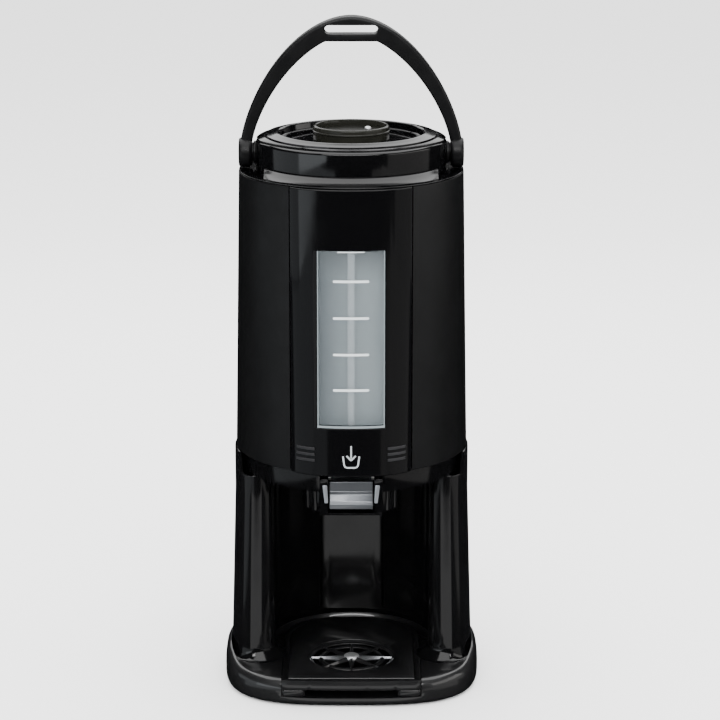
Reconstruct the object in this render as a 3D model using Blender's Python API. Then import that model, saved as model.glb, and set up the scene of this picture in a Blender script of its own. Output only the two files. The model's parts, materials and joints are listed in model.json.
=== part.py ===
"""Gravity-fed thermal coffee dispenser: an insulated vessel on a stand, with a push tap, a level
gauge behind a window, a brew-through lid, a bail handle and a pull-out drip tray.

The origin is on the table, on the vessel's axis. +Z is up, +X is to the right as one faces the tap,
and the tap looks along -Y. Lengths are in metres.
"""

import math

import bmesh
import bpy
from mathutils import Vector

GAP = 0.0003
ROUND = 32
SMALL_ROUND = 16
SHARP_ANGLE = math.radians(32)

# Base and stand
BASE_HALF_WIDTH = 0.131
BASE_FRONT = 0.118
BASE_BACK = 0.12465
BASE_UNDERSIDE = 0.0015
DECK_Z = 0.027
RIM_Z = 0.037
RIM_WIDTH = 0.0060
SCREW_RADIUS = 0.0018
SCREW_HEAD_RADIUS = 0.0040
COLUMN_HALF_WIDTH_LOW = 0.1238
COLUMN_HALF_WIDTH_HIGH = 0.1183
COLUMN_BACK = 0.1170
BAY_RADIUS = 0.085
COLUMN_WALL = 0.003
COLUMN_FRONT_ANGLE = math.radians(19.8)
COLUMN_TOP = 0.2237
COLUMN_LIP_TOP = 0.2445

# Drip tray
TRAY_HALF_WIDTH = 0.0705
TRAY_FLOOR = 0.0096
TRAY_BACK = 0.071
GRILLE_HALF_WIDTH = 0.064
DISH_RADIUS = 0.045
DRAIN_SLOTS = 8
TAP_Y = -0.042

# Vessel and casing
CASING_BOTTOM = 0.245
CASING_TOP = 0.529
CASING_RADIUS_LOW = 0.118
CASING_RADIUS_HIGH = 0.1125
CASING_WALL = 0.0025
PANEL_HALF_WIDTH = 0.060
PANEL_FRONT_LOW = 0.1244
PANEL_FRONT_HIGH = 0.1154
PANEL_WALL = 0.003
WINDOW_HALF_WIDTH = 0.033
WINDOW_BOTTOM = 0.294
WINDOW_TOP = 0.4695
GAUGE_Y = -0.1075
LINER_RADIUS = 0.096
LINER_BOTTOM = 0.268
MOUTH_RADIUS = 0.080
MOUTH_TOP = 0.556
OUTLET_Y = -0.010

# Top: shoulder, lid and handle
SHOULDER_RADIUS = 0.0955
LID_RADIUS = 0.0849
LID_BOTTOM = 0.560
PIVOT_Z = 0.546
KNUCKLE_INNER = 0.092
KNUCKLE_OUTER = 0.1122
PIN_RADIUS = 0.004
BOW_FOOT_Z = 0.551
BOW_OUTER = (0.1110, 0.1311, 1.9, 1.5)  # half-width, rise, and the powers of its curve in x and z
BOW_INNER = (0.0993, 0.1140, 1.7, 1.5)
GRIP_UNDERSIDE = 0.6572
ARM_HALF_DEPTH = 0.0065
GRIP_HALF_DEPTH = 0.0100

# Tap
LEVER_PIVOT_Y = -0.086
LEVER_PIVOT_Z = 0.232
LEVER_HALF_WIDTH = 0.0223
BRACKET_HALF_WIDTH = 0.031
VALVE_SEAT = 0.206
INLET_Z = 0.217
GAUGE_FEED_Z = 0.2525


# ---------------------------------------------------------------- materials


def material(name, colour, roughness, metallic=0.0, alpha=1.0):
    made = bpy.data.materials.new(name)
    made.use_nodes = True
    shader = made.node_tree.nodes["Principled BSDF"]
    shader.inputs["Base Color"].default_value = (*colour, 1.0)
    shader.inputs["Roughness"].default_value = roughness
    shader.inputs["Metallic"].default_value = metallic
    shader.inputs["Alpha"].default_value = alpha
    return made


# ---------------------------------------------------------------- solids


def add_object(name, bm, finish, origin=(0, 0, 0), smooth=True):
    """Turns a bmesh into an object whose own origin is at the given point."""
    bmesh.ops.recalc_face_normals(bm, faces=bm.faces)
    bmesh.ops.translate(bm, verts=bm.verts, vec=-Vector(origin))
    mesh = bpy.data.meshes.new(name)
    bm.to_mesh(mesh)
    bm.free()
    if finish:
        mesh.materials.append(finish)
    if smooth:
        mesh.shade_smooth()
        mesh.set_sharp_from_angle(angle=SHARP_ANGLE)
    made = bpy.data.objects.new(name, mesh)
    made.location = origin
    bpy.context.scene.collection.objects.link(made)
    return made


def join_rings(bm, first, second):
    """Faces between two closed rings of the same number of vertices."""
    for i in range(len(first)):
        j = (i + 1) % len(first)
        bm.faces.new((first[i], first[j], second[j], second[i]))


def turned(name, profile, finish, centre=(0, 0), axis="Z", segments=ROUND, **placing):
    """A solid of revolution. The profile is a closed outline of (radius, height) points.

    A point on the axis ends its ring in a flat cap.
    """
    bm = bmesh.new()
    rings = []
    for radius, height in profile:
        ring = []
        for i in range(segments if radius > 0 else 0):
            turn = 2 * math.pi * (i + 0.5) / segments
            u = centre[0] + radius * math.cos(turn)
            v = centre[1] + radius * math.sin(turn)
            place = {"Z": (u, v, height), "X": (height, u, v), "Y": (u, height, v)}[axis]
            ring.append(bm.verts.new(place))
        rings.append(ring)
    for first, second in zip(rings, rings[1:] + rings[:1]):
        if first and second:
            join_rings(bm, first, second)
        elif first or second:
            bm.faces.new(first or second)
    return add_object(name, bm, finish, **placing)


def tube_profile(inner, outer, low, high):
    return [(inner, low), (outer, low), (outer, high), (inner, high)]


def lofted(name, loops, finish, **placing):
    """A solid through closed loops of points, with a flat cap on the first and the last."""
    bm = bmesh.new()
    rings = [[bm.verts.new(point) for point in loop] for loop in loops]
    for first, second in zip(rings, rings[1:]):
        join_rings(bm, first, second)
    bm.faces.new(rings[0])
    bm.faces.new(rings[-1])
    return add_object(name, bm, finish, **placing)


def sleeve(name, outer_loops, inner_loops, finish):
    """A hollow, open-ended wall between matching outer and inner loops."""
    bm = bmesh.new()
    loops = outer_loops + inner_loops[::-1]
    rings = [[bm.verts.new(point) for point in loop] for loop in loops]
    for first, second in zip(rings, rings[1:] + rings[:1]):
        join_rings(bm, first, second)
    return add_object(name, bm, finish)


def extruded(name, outline, axis, start, end, finish=None, **placing):
    """A prism. The outline's two coordinates are the other two axes, in X, Y, Z order."""

    def place(u, v, along):
        return {"X": (along, u, v), "Y": (u, along, v), "Z": (u, v, along)}[axis]

    loops = [[place(u, v, along) for u, v in outline] for along in (start, end)]
    return lofted(name, loops, finish, **placing)


def block(name, low, high, finish=None, **placing):
    outline = [(low[0], low[1]), (high[0], low[1]), (high[0], high[1]), (low[0], high[1])]
    return extruded(name, outline, "Z", low[2], high[2], finish, smooth=False, **placing)


def combine(target, tool, operation="DIFFERENCE"):
    """Cuts the tool from the target, or joins it on; the tool itself isn't a part."""
    modifier = target.modifiers.new(tool.name, "BOOLEAN")
    modifier.operation = operation
    modifier.solver = "EXACT"
    modifier.object = tool
    tool.hide_render = True
    tool.display_type = "WIRE"
    return target


# ---------------------------------------------------------------- outlines


def power_point(half_x, half_y, turn, power):
    """The point of a superellipse at a turn; power 2 is an ellipse and more is squarer."""
    cosine, sine = math.cos(turn), math.sin(turn)
    x = math.copysign(half_x * abs(cosine) ** (2 / power), cosine)
    y = math.copysign(half_y * abs(sine) ** (2 / power), sine)
    return x, y


def base_outline(inset, count=48):
    """The base in plan: squared front corners and a half-ellipse behind."""
    points = []
    for i in range(count):
        turn = 2 * math.pi * (i + 0.5) / count
        behind = math.sin(turn) > 0
        depth = BASE_BACK if behind else BASE_FRONT
        power = 2.0 if behind else 3.2
        points.append(power_point(BASE_HALF_WIDTH - inset, depth - inset, turn, power))
    return points


def rim_height(y):
    """The base's edge is as low as the deck in front and rises beside the column."""
    share = min(max((y + 0.085) / 0.060, 0.0), 1.0)
    return DECK_Z + (RIM_Z - DECK_Z) * share * share * (3 - 2 * share)


def tray_outline(clearance, front):
    """The tray in plan: straight sides and a rounded back."""
    half = TRAY_HALF_WIDTH + clearance
    start = 0.005
    points = [(half, front), (half, start)]
    for i in range(1, 14):
        turn = math.pi * i / 14
        x, y = power_point(half, TRAY_BACK - start + clearance, turn, 2.4)
        points.append((x, y + start))
    return points + [(-half, start), (-half, front)]


def casing_radius(z):
    share = (z - CASING_BOTTOM) / (CASING_TOP - CASING_BOTTOM)
    return CASING_RADIUS_LOW + (CASING_RADIUS_HIGH - CASING_RADIUS_LOW) * share


def panel_front(x, z):
    """Y of the front panel's outer face: nearly flat in the middle, rounding off to the seams."""
    share = (z - CASING_BOTTOM) / (CASING_TOP - CASING_BOTTOM)
    middle = PANEL_FRONT_LOW + (PANEL_FRONT_HIGH - PANEL_FRONT_LOW) * share
    seam = math.sqrt(casing_radius(z) ** 2 - PANEL_HALF_WIDTH**2) + 0.0014
    across = abs(x) / PANEL_HALF_WIDTH
    slope = 0.0120 * across**2
    return -middle + slope + (middle - seam - 0.0120) * across**6


def panel_section(z, half_width, recess, wall, count=14):
    """A closed strip in plan that follows the front panel's face."""
    outer, inner = [], []
    for i in range(count + 1):
        x = half_width * (2 * i / count - 1)
        y = panel_front(x, z) + recess
        outer.append((x, y, z))
        inner.append((x * (1 - wall / half_width * 0.6), y + wall, z))
    return outer + inner[::-1]


def column_section(z, inset, flare_top):
    """The stand's horseshoe in plan, its two front ends rounded."""
    share = (z - DECK_Z) / (COLUMN_LIP_TOP - DECK_Z)
    half = COLUMN_HALF_WIDTH_LOW + (COLUMN_HALF_WIDTH_HIGH - COLUMN_HALF_WIDTH_LOW) * share
    nose_radius = (half - BAY_RADIUS) / 2
    nose_centre = (half + BAY_RADIUS) / 2
    first, last = -COLUMN_FRONT_ANGLE, math.pi + COLUMN_FRONT_ANGLE
    outer_count, inner_count, nose_count = 26, 22, 7
    points = []
    for i in range(outer_count + 1):
        turn = first + (last - first) * i / outer_count
        depth = COLUMN_BACK if math.sin(turn) > 0 else half
        x = (half - inset) * math.cos(turn)
        points.append((x, (depth - inset) * math.sin(turn), z + flare_top))
    points += nose_points(last, nose_centre, nose_radius - inset, nose_count, z, 1)
    for i in range(inner_count + 1):
        turn = last + (first - last) * i / inner_count
        radius = BAY_RADIUS + inset
        points.append((radius * math.cos(turn), radius * math.sin(turn), z))
    points += nose_points(first, nose_centre, nose_radius - inset, nose_count, z, -1)
    return points


def nose_points(turn, centre, radius, count, z, side):
    """The half-circle that rounds one end of the horseshoe, between its outer and inner arcs."""
    middle = Vector((centre * math.cos(turn), centre * math.sin(turn)))
    out = Vector((math.cos(turn), math.sin(turn)))
    ahead = Vector((-out.y, out.x)) * side
    points = []
    for i in range(1, count):
        swing = math.pi * i / count if side > 0 else math.pi * (count - i) / count
        spot = middle + out * radius * math.cos(swing) + ahead * radius * math.sin(swing)
        points.append((spot.x, spot.y, z))
    return points


# ---------------------------------------------------------------- base and stand


def make_base(plastic, rubber, steel):
    levels = [(0.0, 0.0030), (0.13, 0.0006), (0.38, 0.0), (0.62, 0.0), (0.86, 0.0022), (1.0, RIM_WIDTH)]
    loops = []
    for share, inset in levels:
        loop = []
        for x, y in base_outline(inset):
            loop.append((x, y, BASE_UNDERSIDE + (rim_height(y) - BASE_UNDERSIDE) * share))
        loops.append(loop)
    loops.append([(x, y, DECK_Z) for x, y in base_outline(RIM_WIDTH + 0.0005)])
    shell = lofted("base_shell", loops, plastic)

    pocket = extruded("cut_tray_pocket", tray_outline(GAP, -0.14), "Z", TRAY_FLOOR, 0.05)
    combine(shell, pocket)
    hollow = extruded("cut_base_hollow", base_outline(0.007), "Z", -0.001, 0.0225)
    guard = extruded("cut_pocket_guard", tray_outline(0.004, -0.15), "Z", 0.005, 0.05)
    combine(hollow, guard)
    combine(shell, hollow)

    plate_outline = base_outline(0.0075, 40)
    plate = extruded("base_bottom_plate", plate_outline, "Z", 0.0021, 0.0044, plastic, smooth=False)
    for side_name, side in (("left", -1), ("right", 1)):
        for end_name, y in (("front", -0.060), ("rear", 0.036)):
            x = side * 0.048
            clearance = SCREW_RADIUS + 0.0004
            hole = tube_cutter(f"cut_{end_name}_{side_name}_screw", (x, y), clearance, 0.001, 0.0090)
            combine(plate, hole)
            combine(shell, hole)
            head, shank = SCREW_HEAD_RADIUS, SCREW_RADIUS
            profile = [(0, 0.0005), (head, 0.0005), (head, 0.0018), (shank, 0.0018)]
            profile += [(shank, 0.0085), (0, 0.0085)]
            turned(f"base_screw_{end_name}_{side_name}", profile, steel, (x, y), segments=12)
        for end_name, x, y in (("front", 0.098, -0.068), ("rear", 0.086, 0.066)):
            profile = [(0, 0), (0.0090, 0), (0.0100, 0.0010), (0.0100, 0.0018), (0, 0.0018)]
            turned(f"foot_{end_name}_{side_name}", profile, rubber, (side * x, y), segments=16)


def tube_cutter(name, centre, radius, low, high, axis="Z", segments=SMALL_ROUND):
    profile = [(0, low), (radius, low), (radius, high), (0, high)]
    return turned(name, profile, None, centre, axis, segments)


def make_stand(plastic):
    low, top = DECK_Z + GAP, COLUMN_TOP
    rise = COLUMN_LIP_TOP - COLUMN_TOP
    outer = [column_section(low, 0, 0), column_section(0.13, 0, 0), column_section(top, 0, rise)]
    inner = [column_section(low, COLUMN_WALL, 0), column_section(top, COLUMN_WALL, rise)]
    sleeve("stand_column", outer, inner, plastic)
    face, edge, back = 0.0735, 0.0776, 0.0785
    outline = [(-0.032, edge), (-0.024, face), (0.024, face), (0.032, edge), (0.030, back), (-0.030, back)]
    extruded("spine_cover", outline, "Z", 0.036, 0.2232, plastic, smooth=False)


def make_tray(plastic, grille_plastic):
    front = -0.112
    tray = extruded("drip_tray", tray_outline(-GAP, front), "Z", TRAY_FLOOR + GAP, DECK_Z, plastic)
    half = TRAY_HALF_WIDTH - GAP
    lip_outline = [(-half, front + 0.0004), (-half, -0.1165)]
    for i in range(1, 8):
        x = half * (2 * i / 8 - 1)
        lip_outline.append((x, -0.1193 + 0.0028 * (x / half) ** 2))
    lip_outline += [(half, -0.1165), (half, front + 0.0004)]
    lip = extruded("join_tray_lip", lip_outline, "Z", 0.0187, 0.0282)
    combine(tray, lip, "UNION")
    ledge_half = GRILLE_HALF_WIDTH + GAP
    ledge = block("cut_grille_ledge", (-ledge_half, -0.1078, 0.0247), (ledge_half, 0.0, 0.04))
    combine(tray, ledge)
    back_ledge = extruded("cut_grille_ledge_back", tray_outline(-0.0062, -0.02), "Z", 0.0247, 0.04)
    combine(tray, back_ledge)
    combine(tray, extruded("cut_tray_bin", tray_outline(-0.0085, -0.092), "Z", 0.0120, 0.05))
    combine(tray, block("cut_finger_slot", (-0.047, -0.13, 0.005), (0.047, -0.0945, 0.0187)))

    plate_outline = tray_outline(-0.0065, -0.1075)
    grille = extruded("drip_grille", plate_outline, "Z", 0.0250, 0.0275, grille_plastic)
    rim = tube_cutter("join_dish", (0, TAP_Y), DISH_RADIUS + 0.0015, 0.0222, 0.0260, segments=32)
    combine(grille, rim, "UNION")
    combine(grille, tube_cutter("cut_dish", (0, TAP_Y), DISH_RADIUS, 0.0242, 0.05, segments=32))
    for i in range(DRAIN_SLOTS):
        turn = 2 * math.pi * (i + 0.5) / DRAIN_SLOTS
        along = Vector((math.cos(turn), math.sin(turn)))
        across = Vector((-along.y, along.x))
        near, far = along * 0.013, along * 0.040
        narrow, wide = across * 0.0012, across * 0.0142
        corners = [near - narrow, far - wide, far + wide, near + narrow]
        outline = [(spot.x, spot.y + TAP_Y) for spot in corners]
        combine(grille, extruded(f"cut_drain_slot_{i + 1}", outline, "Z", 0.020, 0.030))
    boss_profile = [(0, 0.0225), (0.0070, 0.0225), (0.0070, 0.0256), (0.0045, 0.0270), (0, 0.0274)]
    boss = turned("join_dish_boss", boss_profile, None, (0, TAP_Y), segments=20)
    combine(grille, boss, "UNION")


# ---------------------------------------------------------------- casing and gauge


def make_casing(satin, gloss, clear, backing, silicone):
    sections = []
    for z in (CASING_BOTTOM, CASING_TOP):
        radius = casing_radius(z)
        edge = PANEL_HALF_WIDTH + 0.0002
        section = []
        for wall, order in ((0.0, 1), (CASING_WALL, -1)):
            start = math.asin(edge / (radius - wall))
            arc = []
            for i in range(ROUND + 1):
                turn = start + (2 * math.pi - 2 * start) * i / ROUND
                arc.append(((radius - wall) * math.sin(turn), -(radius - wall) * math.cos(turn), z))
            section += arc[::order]
        sections.append(section)
    lofted("outer_casing", sections, satin)

    half = PANEL_HALF_WIDTH - 0.0002
    heights = (CASING_BOTTOM, 0.316, 0.387, 0.458, CASING_TOP)
    panel = lofted("front_panel", [panel_section(z, half, 0, PANEL_WALL) for z in heights], gloss)
    opening_low = (-WINDOW_HALF_WIDTH - GAP, -0.14, WINDOW_BOTTOM - GAP)
    opening_high = (WINDOW_HALF_WIDTH + GAP, -0.09, WINDOW_TOP + GAP)
    combine(panel, block("cut_window_opening", opening_low, opening_high))

    heights = (WINDOW_BOTTOM, 0.35, 0.41, WINDOW_TOP)
    sections = [panel_section(z, WINDOW_HALF_WIDTH, 0.0006, 0.0020, 10) for z in heights]
    lofted("gauge_window", sections, clear)

    back, face, front = -0.1015, -0.1029, -0.1083
    outer, inner = 0.036, 0.0344
    outline = [(-outer, front), (-inner, front), (-inner, face), (inner, face)]
    outline += [(inner, front), (outer, front), (outer, back), (-outer, back)]
    extruded("gauge_back_plate", outline, "Z", 0.290, 0.474, backing, smooth=False)

    spot = (0, GAUGE_Y)
    turned("gauge_tube", tube_profile(0.0030, 0.0040, 0.2623, 0.4860), clear, spot, segments=SMALL_ROUND)
    cap = [(0, 0.4980), (0, 0.4863), (0.0043, 0.4863), (0.0043, 0.4800)]
    cap += [(0.0055, 0.4800), (0.0055, 0.4980)]
    turned("gauge_top_cap", cap, silicone, spot, segments=SMALL_ROUND)
    profile = [(0, 0.247), (0.0065, 0.247), (0.0065, 0.268), (0, 0.268)]
    elbow = turned("gauge_elbow", profile, silicone, spot)
    combine(elbow, tube_cutter("cut_gauge_socket", spot, 0.0043, 0.2620, 0.275))
    combine(elbow, tube_cutter("cut_gauge_riser", spot, 0.0022, 0.2510, 0.265))
    feed_hole = tube_cutter("cut_gauge_feed", (0, GAUGE_FEED_Z), 0.0038, GAUGE_Y + 0.0010, -0.090, "Y")
    combine(elbow, feed_hole)
    feed = tube_profile(0.0022, 0.0035, -0.1040, -0.0176)
    turned("gauge_feed_pipe", feed, silicone, (0, GAUGE_FEED_Z), "Y", SMALL_ROUND)


def make_bottom_cover(gloss):
    low, floor, top = 0.2240, 0.2265, 0.2446
    profile = [(0, low), (0.112, low), (0.112, top), (0.1095, top), (0.1095, floor), (0, floor)]
    cover = turned("bottom_cover", profile, gloss)
    combine(cover, tube_cutter("cut_valve_opening", (0, TAP_Y), 0.0455, 0.20, 0.235, segments=32))
    half = BRACKET_HALF_WIDTH + GAP
    combine(cover, block("cut_lever_opening", (-half, -0.13, 0.21), (half, -0.0797, 0.2410)))


# ---------------------------------------------------------------- vessel


def make_vessel(steel, silicone, plastic):
    wall = 0.001
    neck = MOUTH_RADIUS + wall
    inside = LINER_RADIUS
    floor = LINER_BOTTOM
    profile = [(0, floor), (inside - 0.002, floor), (inside + wall, floor + 0.004), (inside + wall, 0.505)]
    profile += [(neck, 0.525), (neck, MOUTH_TOP), (MOUTH_RADIUS, MOUTH_TOP), (MOUTH_RADIUS, 0.5254)]
    profile += [(inside, 0.5054), (inside, floor + 0.0044), (inside - 0.0024, floor + wall)]
    profile += [(0, floor + wall)]
    outlet = tube_cutter("cut_outlet", (0, OUTLET_Y), 0.0093, 0.25, 0.28, segments=24)
    combine(turned("inner_liner", profile, steel), outlet)

    outside = 0.101
    floor = 0.262
    profile = [(0, floor), (outside - 0.004, floor), (outside, floor + 0.005), (outside, 0.506)]
    profile += [(0.0832, 0.527), (0.0832, 0.551), (0.0822, 0.551), (0.0822, 0.5274)]
    profile += [(outside - wall, 0.5064), (outside - wall, floor + 0.0054)]
    profile += [(outside - 0.0044, floor + wall), (0, floor + wall)]
    combine(turned("outer_liner", profile, steel), outlet)

    turned("outlet_seal", tube_profile(0.0093, 0.014, 0.2580, 0.2617), silicone, (0, OUTLET_Y), segments=24)
    nut = [(0, 0.2693), (0.014, 0.2693), (0.014, 0.2720), (0, 0.2720)]
    combine(turned("outlet_nut", nut, steel, (0, OUTLET_Y), segments=6), outlet)
    turned("mouth_seal", tube_profile(0.0799, 0.0833, MOUTH_TOP + GAP, 0.5594), silicone)
    turned("neck_flange", tube_profile(0.0848, 0.1092, 0.5260, 0.5291), plastic)

    column = [(0, 0.209), (0.009, 0.209), (0.009, 0.2705), (0, 0.2705)]
    neck = turned("outlet_elbow", column, plastic, (0, OUTLET_Y), segments=24)
    duct = tube_cutter("join_inlet_duct", (0, INLET_Z), 0.0068, -0.0277, OUTLET_Y, "Y")
    combine(neck, duct, "UNION")
    combine(neck, tube_cutter("cut_neck_bore", (0, OUTLET_Y), 0.0065, 0.2120, 0.28, segments=20))
    combine(neck, tube_cutter("cut_duct_bore", (0, INLET_Z), 0.0045, -0.04, OUTLET_Y, "Y"))
    combine(neck, tube_cutter("cut_neck_gauge_port", (0, GAUGE_FEED_Z), 0.0038, -0.03, OUTLET_Y, "Y"))


# ---------------------------------------------------------------- shoulder and lid


def make_shoulder(gloss, steel, silicone):
    edge = 0.0963
    top = 0.5380
    profile = [(edge, 0.5294), (0.1122, 0.5294), (0.1120, 0.5304), (0.1030, 0.5335)]
    profile += [(0.0975, top), (edge, top)]
    cover = turned("shoulder_cover", profile, gloss)
    for name, side in (("left", -1), ("right", 1)):
        near, far = sorted((side * 0.0853, side * 0.13))
        combine(cover, block(f"cut_pivot_flat_{name}", (near, -0.09, 0.5304), (far, 0.09, 0.56)))

    outer = SHOULDER_RADIUS
    profile = [(0.0836, 0.5296), (outer, 0.5296), (outer, 0.5592), (outer - 0.0013, 0.5611)]
    profile += [(0.0863, 0.5645), (0.0853, 0.5640), (0.0853, LID_BOTTOM - GAP), (0.0836, LID_BOTTOM - GAP)]
    ring = turned("shoulder_ring", profile, gloss)
    for name, side in (("left", -1), ("right", 1)):
        near, far = sorted((side * 0.0877, side * 0.110))
        combine(ring, tube_cutter(f"cut_knuckle_room_{name}", (0, PIVOT_Z), 0.0170, near, far, "X", 24))
        near, far = sorted((side * 0.080, side * 0.095))
        combine(ring, tube_cutter(f"cut_pin_seat_{name}", (0, PIVOT_Z), PIN_RADIUS + GAP, near, far, "X"))
        near, far = sorted((side * 0.0842, side * 0.1085))
        pin = [(0, near), (PIN_RADIUS, near), (PIN_RADIUS, far), (0, far)]
        turned(f"pivot_pin_{name}", pin, steel, (0, PIVOT_Z), "X", SMALL_ROUND)
        near, far = sorted((side * 0.0880, side * 0.0917))
        bush = tube_profile(PIN_RADIUS + GAP, 0.012, near, far)
        turned(f"pivot_bush_{name}", bush, silicone, (0, PIVOT_Z), "X", 20)


def make_lid(gloss, plastic, silicone):
    seat = (0, 0, LID_BOTTOM)
    hole = 0.0364
    profile = [(hole, LID_BOTTOM), (LID_RADIUS, LID_BOTTOM), (LID_RADIUS, 0.5650), (0.0800, 0.5676)]
    profile += [(0.0740, 0.5692), (0.0713, 0.5687), (0.0698, 0.5654), (hole, 0.5636)]
    turned("lid_top", profile, gloss, origin=seat)

    outer = 0.0380
    profile = [(outer, 0.5640), (outer, 0.5676), (0.0369, 0.5682), (0.0369, 0.5692), (outer, 0.5698)]
    profile += [(outer, 0.5726), (0.0366, 0.5740), (0.0336, 0.5740), (0.0320, 0.5724), (0.0270, 0.5668)]
    profile += [(0.0180, 0.5615), (0.0090, 0.5580), (0.0080, 0.5560), (0.0080, 0.5465), (0.0102, 0.5465)]
    profile += [(0.0102, 0.5556), (0.0190, 0.5592), (0.0290, 0.5640)]
    turned("brew_collar", profile, gloss, segments=24, origin=seat)

    outer, inner = 0.0775, 0.0750
    profile = [(0.013, 0.5460), (outer - 0.0015, 0.5460), (outer, 0.5480), (outer, 0.5597), (inner, 0.5597)]
    profile += [(inner, 0.5485), (0.0155, 0.5485), (0.0155, 0.5560), (0.013, 0.5560)]
    turned("lid_plug", profile, plastic, origin=seat)
    turned("lid_gasket", [(0.0778, 0.551), (0.0796, 0.5525), (0.0778, 0.554)], silicone, origin=seat)


# ---------------------------------------------------------------- handle


def bow_point(half_width, rise, x_power, z_power, turn):
    """A point of the bow's inner or outer edge, from the knuckle at turn 0 to the middle at 90 degrees."""
    x = half_width * math.cos(turn) ** (2 / x_power)
    z = BOW_FOOT_Z + rise * math.sin(turn) ** (2 / z_power)
    return x, z


def bow_section(turn, side):
    """One cross-section of the bow: a rectangle with its corners cut off."""
    outer_x, outer_z = bow_point(*BOW_OUTER, turn)
    inner_x, inner_z = bow_point(*BOW_INNER, turn)
    inner_z = min(inner_z, GRIP_UNDERSIDE)
    share = math.sin(turn) ** 4
    depth = ARM_HALF_DEPTH + (GRIP_HALF_DEPTH - ARM_HALF_DEPTH) * share
    outer = Vector((outer_x * side, 0, outer_z))
    inner = Vector((inner_x * side, 0, inner_z))
    across = (outer - inner).normalized()
    chamfer = 0.0028
    back = Vector((0, 1, 0))
    points = []
    for y_side, end_first in ((-1, True), (1, False)):
        ends = [inner, outer] if end_first else [outer, inner]
        for end in ends:
            inward = across if end is inner else -across
            on_end = end + back * y_side * (depth - chamfer)
            on_side = end + back * y_side * depth + inward * chamfer
            pair = [on_end, on_side]
            points += pair if end is ends[0] else pair[::-1]
    return points


def make_handle(plastic):
    origin = (0, 0, PIVOT_Z)
    steps = 12
    loops = []
    for i in range(-steps, steps + 1):
        side = -1 if i < 0 else 1
        turn = math.pi / 2 * (1 - abs(i) / steps)
        loops.append(bow_section(turn, side))
    handle = lofted("carry_handle", loops, plastic, origin=origin)

    for name, side in (("left", -1), ("right", 1)):
        hole = PIN_RADIUS + GAP
        profile = [(hole, KNUCKLE_INNER), (0.0142, KNUCKLE_INNER), (0.0152, 0.0930), (0.0152, 0.1095)]
        profile += [(0.0125, KNUCKLE_OUTER), (0, KNUCKLE_OUTER), (0, 0.1088), (hole, 0.1088)]
        profile = [(radius, along * side) for radius, along in profile]
        knuckle = turned(f"join_knuckle_{name}", profile, None, (0, PIVOT_Z), "X", 20)
        combine(handle, knuckle, "UNION")

    half_length, half_height, middle_z = 0.0265, 0.0045, 0.6690
    outline = []
    for side in (1, -1):
        for i in range(7):
            turn = -math.pi / 2 + math.pi * i / 6
            x = side * (half_length - half_height + half_height * math.cos(turn))
            outline.append((x, middle_z + side * half_height * math.sin(turn)))
    combine(handle, extruded("cut_grip_slot", outline, "Y", -0.02, 0.02))


# ---------------------------------------------------------------- tap


def make_tap_housing(gloss, steel):
    spot = (0, TAP_Y)
    profile = [(0.0084, 0.192), (0.044, 0.192), (0.050, 0.197), (0.050, 0.2237), (0.0475, 0.2237)]
    profile += [(0.0475, 0.198), (0.043, 0.1945), (0.0084, 0.1945)]
    housing = turned("tap_housing", profile, gloss, spot)
    half = BRACKET_HALF_WIDTH + GAP
    combine(housing, block("cut_bracket_room", (-half, -0.13, 0.18), (half, -0.0797, 0.24)))

    outline = [(-0.080, 0.199), (-0.105, 0.199), (-0.108, 0.204), (-0.1175, 0.236)]
    outline += [(-0.1175, 0.2405), (-0.080, 0.2405)]
    width = BRACKET_HALF_WIDTH
    bracket = extruded("lever_bracket", outline, "X", -width, width, gloss, smooth=False)
    cheek = LEVER_HALF_WIDTH + 0.0005
    combine(bracket, block("cut_lever_bay", (-cheek, -0.14, 0.202), (cheek, -0.083, 0.25)))
    combine(bracket, block("cut_arm_way", (-cheek, -0.09, 0.223), (cheek, -0.07, 0.25)))
    pivot = (LEVER_PIVOT_Y, LEVER_PIVOT_Z)
    combine(bracket, tube_cutter("cut_bracket_pin", pivot, 0.0023, -0.04, 0.04, "X"))
    pin = [(0, -0.0295), (0.0020, -0.0295), (0.0020, 0.0295), (0, 0.0295)]
    turned("lever_pin", pin, steel, pivot, "X", SMALL_ROUND)


def make_lever(silver):
    """The press lever: a paddle in front of the pivot, and a fork behind it under the plunger's collar."""
    origin = (0, LEVER_PIVOT_Y, LEVER_PIVOT_Z)
    outline = [(-0.103, 0.236), (-0.1125, 0.2365), (-0.1132, 0.226), (-0.1195, 0.219), (-0.121, 0.214)]
    outline += [(-0.119, 0.2105), (-0.110, 0.210), (-0.106, 0.214), (-0.105, 0.226)]
    half = LEVER_HALF_WIDTH
    lever = extruded("press_lever", outline, "X", -half, half, silver, origin=origin)
    hub_half = 0.020
    pivot = (LEVER_PIVOT_Y, LEVER_PIVOT_Z)
    hub = tube_cutter("join_lever_hub", pivot, 0.0055, -hub_half, hub_half, "X")
    combine(lever, hub, "UNION")
    web = block("join_lever_web", (-0.018, -0.1058, 0.2290), (0.018, -0.0840, 0.2350))
    combine(lever, web, "UNION")
    arm = block("join_lever_arm", (-0.007, -0.0880, 0.2305), (0.007, -0.037, 0.2335))
    combine(lever, arm, "UNION")
    combine(lever, block("cut_fork_slot", (-0.0033, -0.0465, 0.225), (0.0033, -0.030, 0.24)))
    combine(lever, tube_cutter("cut_lever_pin", pivot, 0.0023, -0.03, 0.03, "X"))


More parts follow.
